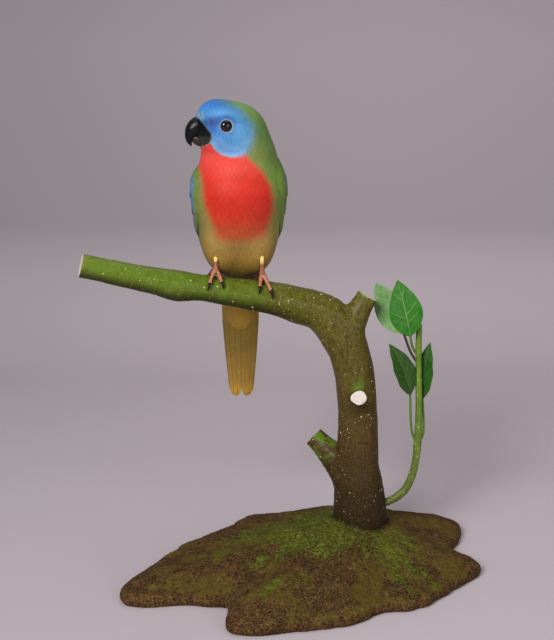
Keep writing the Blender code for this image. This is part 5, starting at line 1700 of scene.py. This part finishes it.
# Grains: half length, width and height in mm, and how many on a square centimetre.
speckLook = {"perCm2": 5.5, "half": (0.37, 0.3, 0.1), "sink": 0.35, "smallest": 0.35, "seed": 7}
blotchLook = {"perCm2": 1.0, "half": (0.8, 0.6, 0.14), "sink": 0.4, "smallest": 0.5, "seed": 17}
tuftLook = {"perCm2": 40.0, "half": (0.5, 0.32, 0.26), "sink": 0.1, "smallest": 0.4, "seed": 5}
gritLook = {"perCm2": 9.0, "half": (0.5, 0.42, 0.34), "sink": 0.1, "smallest": 0.3, "seed": 9}


def speckFinish():
    speck = Finish("barkSpecks", Roughness=0.5, Specular_IOR_Level=0.3)
    return speck.done(speck.blend(speck.grain(0.006, 2.0), shade(156, 150, 84), shade(236, 230, 176)))


def mossFinish():
    tuft = Finish("mossTufts", Roughness=0.95, Specular_IOR_Level=0.15)
    return tuft.done(tuft.paints(tuft.grain(0.004, 3.0), (0.35, 44, 50, 12), (0.65, 112, 128, 32)))


def gritFinish():
    grit = Finish("groundGrit", Roughness=0.95, Specular_IOR_Level=0.15)
    return grit.done(grit.paints(grit.grain(0.003, 3.0), (0.35, 46, 30, 16), (0.65, 116, 84, 48)))


# Studio: a pale sheet that runs up behind, soft lights, and the camera.
studioLook = {
    "bend": 0.45, "turn": 0.5, "wide": 2.2,
    "camera": (-0.0051, -0.65424, 0.305), "tilt": 77.7, "lens": 61.875,
    # name, place, size, power, target
    "lamps": (
        ("keyLight", (-0.7, -1.25, 1.0), 0.7, 27.0, (0, 0, 0.15)),
        ("fillLight", (1.0, -1.2, 0.5), 1.0, 6.5, (0, 0, 0.15)),
        ("topLight", (0.1, 0.25, 1.5), 1.1, 4.5, (0, 0.1, 0.1)),
    ),
    "sky": 0.17,
}


def makeBackdrop():
    paper = Finish("backdropPaper", Roughness=0.9, Specular_IOR_Level=0.1)
    place = paper.add("ShaderNodeSeparateXYZ", {0: paper.place}).outputs
    # painted shade on the paper: lightest on the floor in front, darker up the sweep
    tone = paper.paints(
        paper.step(place[2], 0.0, 0.8),
        (0.0, 196, 185, 190), (0.06, 166, 156, 162), (0.4, 170, 160, 165), (1.0, 158, 148, 152),
    )
    # painted shade: the paper darker towards the left
    across = paper.step(place[0], -0.7, 0.25)
    paper.done(paper.toned(tone, across, (0.0, 0.72, 0.74, 0.74), (1.0, 1.0, 1.0, 1.0)))
    bend, turn, wide = studioLook["bend"], studioLook["turn"], studioLook["wide"]
    profile = [(-1.6, 0.0), (-0.4, 0.0), (0.1, 0.0), (bend, 0.0)]
    profile += [(bend + turn * math.sin(a), turn * (1 - math.cos(a))) for a in np.radians(np.arange(6, 85, 6))]
    profile += [(profile[-1][0] + 0.03, 0.7), (profile[-1][0] + 0.1, 2.4)]
    columns = (-wide, -0.7, 0, 0.7, wide)
    count = len(columns)
    faces = [
        [i * count + j, i * count + j + 1, (i + 1) * count + j + 1, (i + 1) * count + j]
        for i in range(len(profile) - 1) for j in range(count - 1)
    ]
    mesh = bpy.data.meshes.new("backdrop")
    mesh.from_pydata([(x, y, z) for y, z in profile for x in columns], [], faces)
    linked("backdrop", dressed(mesh, paper.material))


def makeStudio():
    makeBackdrop()
    for name, place, size, power, target in studioLook["lamps"]:
        lamp = bpy.data.lights.new(name, "AREA")
        lamp.shape = "SQUARE"
        lamp.size = size
        lamp.energy = power
        obj = linked(name, lamp)
        obj.location = place
        obj.rotation_euler = (Vector(target) - Vector(place)).to_track_quat("-Z", "Y").to_euler()
    world = bpy.data.worlds.new("studioWorld")
    world.use_nodes = True
    sky = world.node_tree.nodes["Background"].inputs
    sky[0].default_value = (0.98, 0.96, 1.0, 1.0)
    sky[1].default_value = studioLook["sky"]
    bpy.context.scene.world = world
    lens = bpy.data.cameras.new("photoCamera")
    lens.lens = studioLook["lens"]
    lens.sensor_width = 36.0
    lens.sensor_fit = "AUTO"
    lens.clip_end = 20
    camera = linked("photoCamera", lens)
    camera.location = studioLook["camera"]
    camera.rotation_euler = (math.radians(studioLook["tilt"]), 0, 0)
    bpy.context.scene.camera = camera
    bpy.context.scene.view_settings.view_transform = "Standard"


bark = makeBranch()
ground = makeBase()
makeBird()
makeEyes()
makeEyeRings()
makeCere()
print("bird done")
makeFeet()
makeStem()
makeLeaves()
print("feet and sprig done")
specks = speckFinish()
scatterGrains("barkSpecks", bark, "grains", speckLook, specks, "bark")
scatterGrains("barkBlotches", bark, "grains", blotchLook, specks, "bark")
scatterGrains("mossTufts", ground, "moss", tuftLook, mossFinish(), "ground")
scatterGrains("groundGrit", ground, "grains", gritLook, gritFinish(), "ground")
makeStudio()
print("studio done")
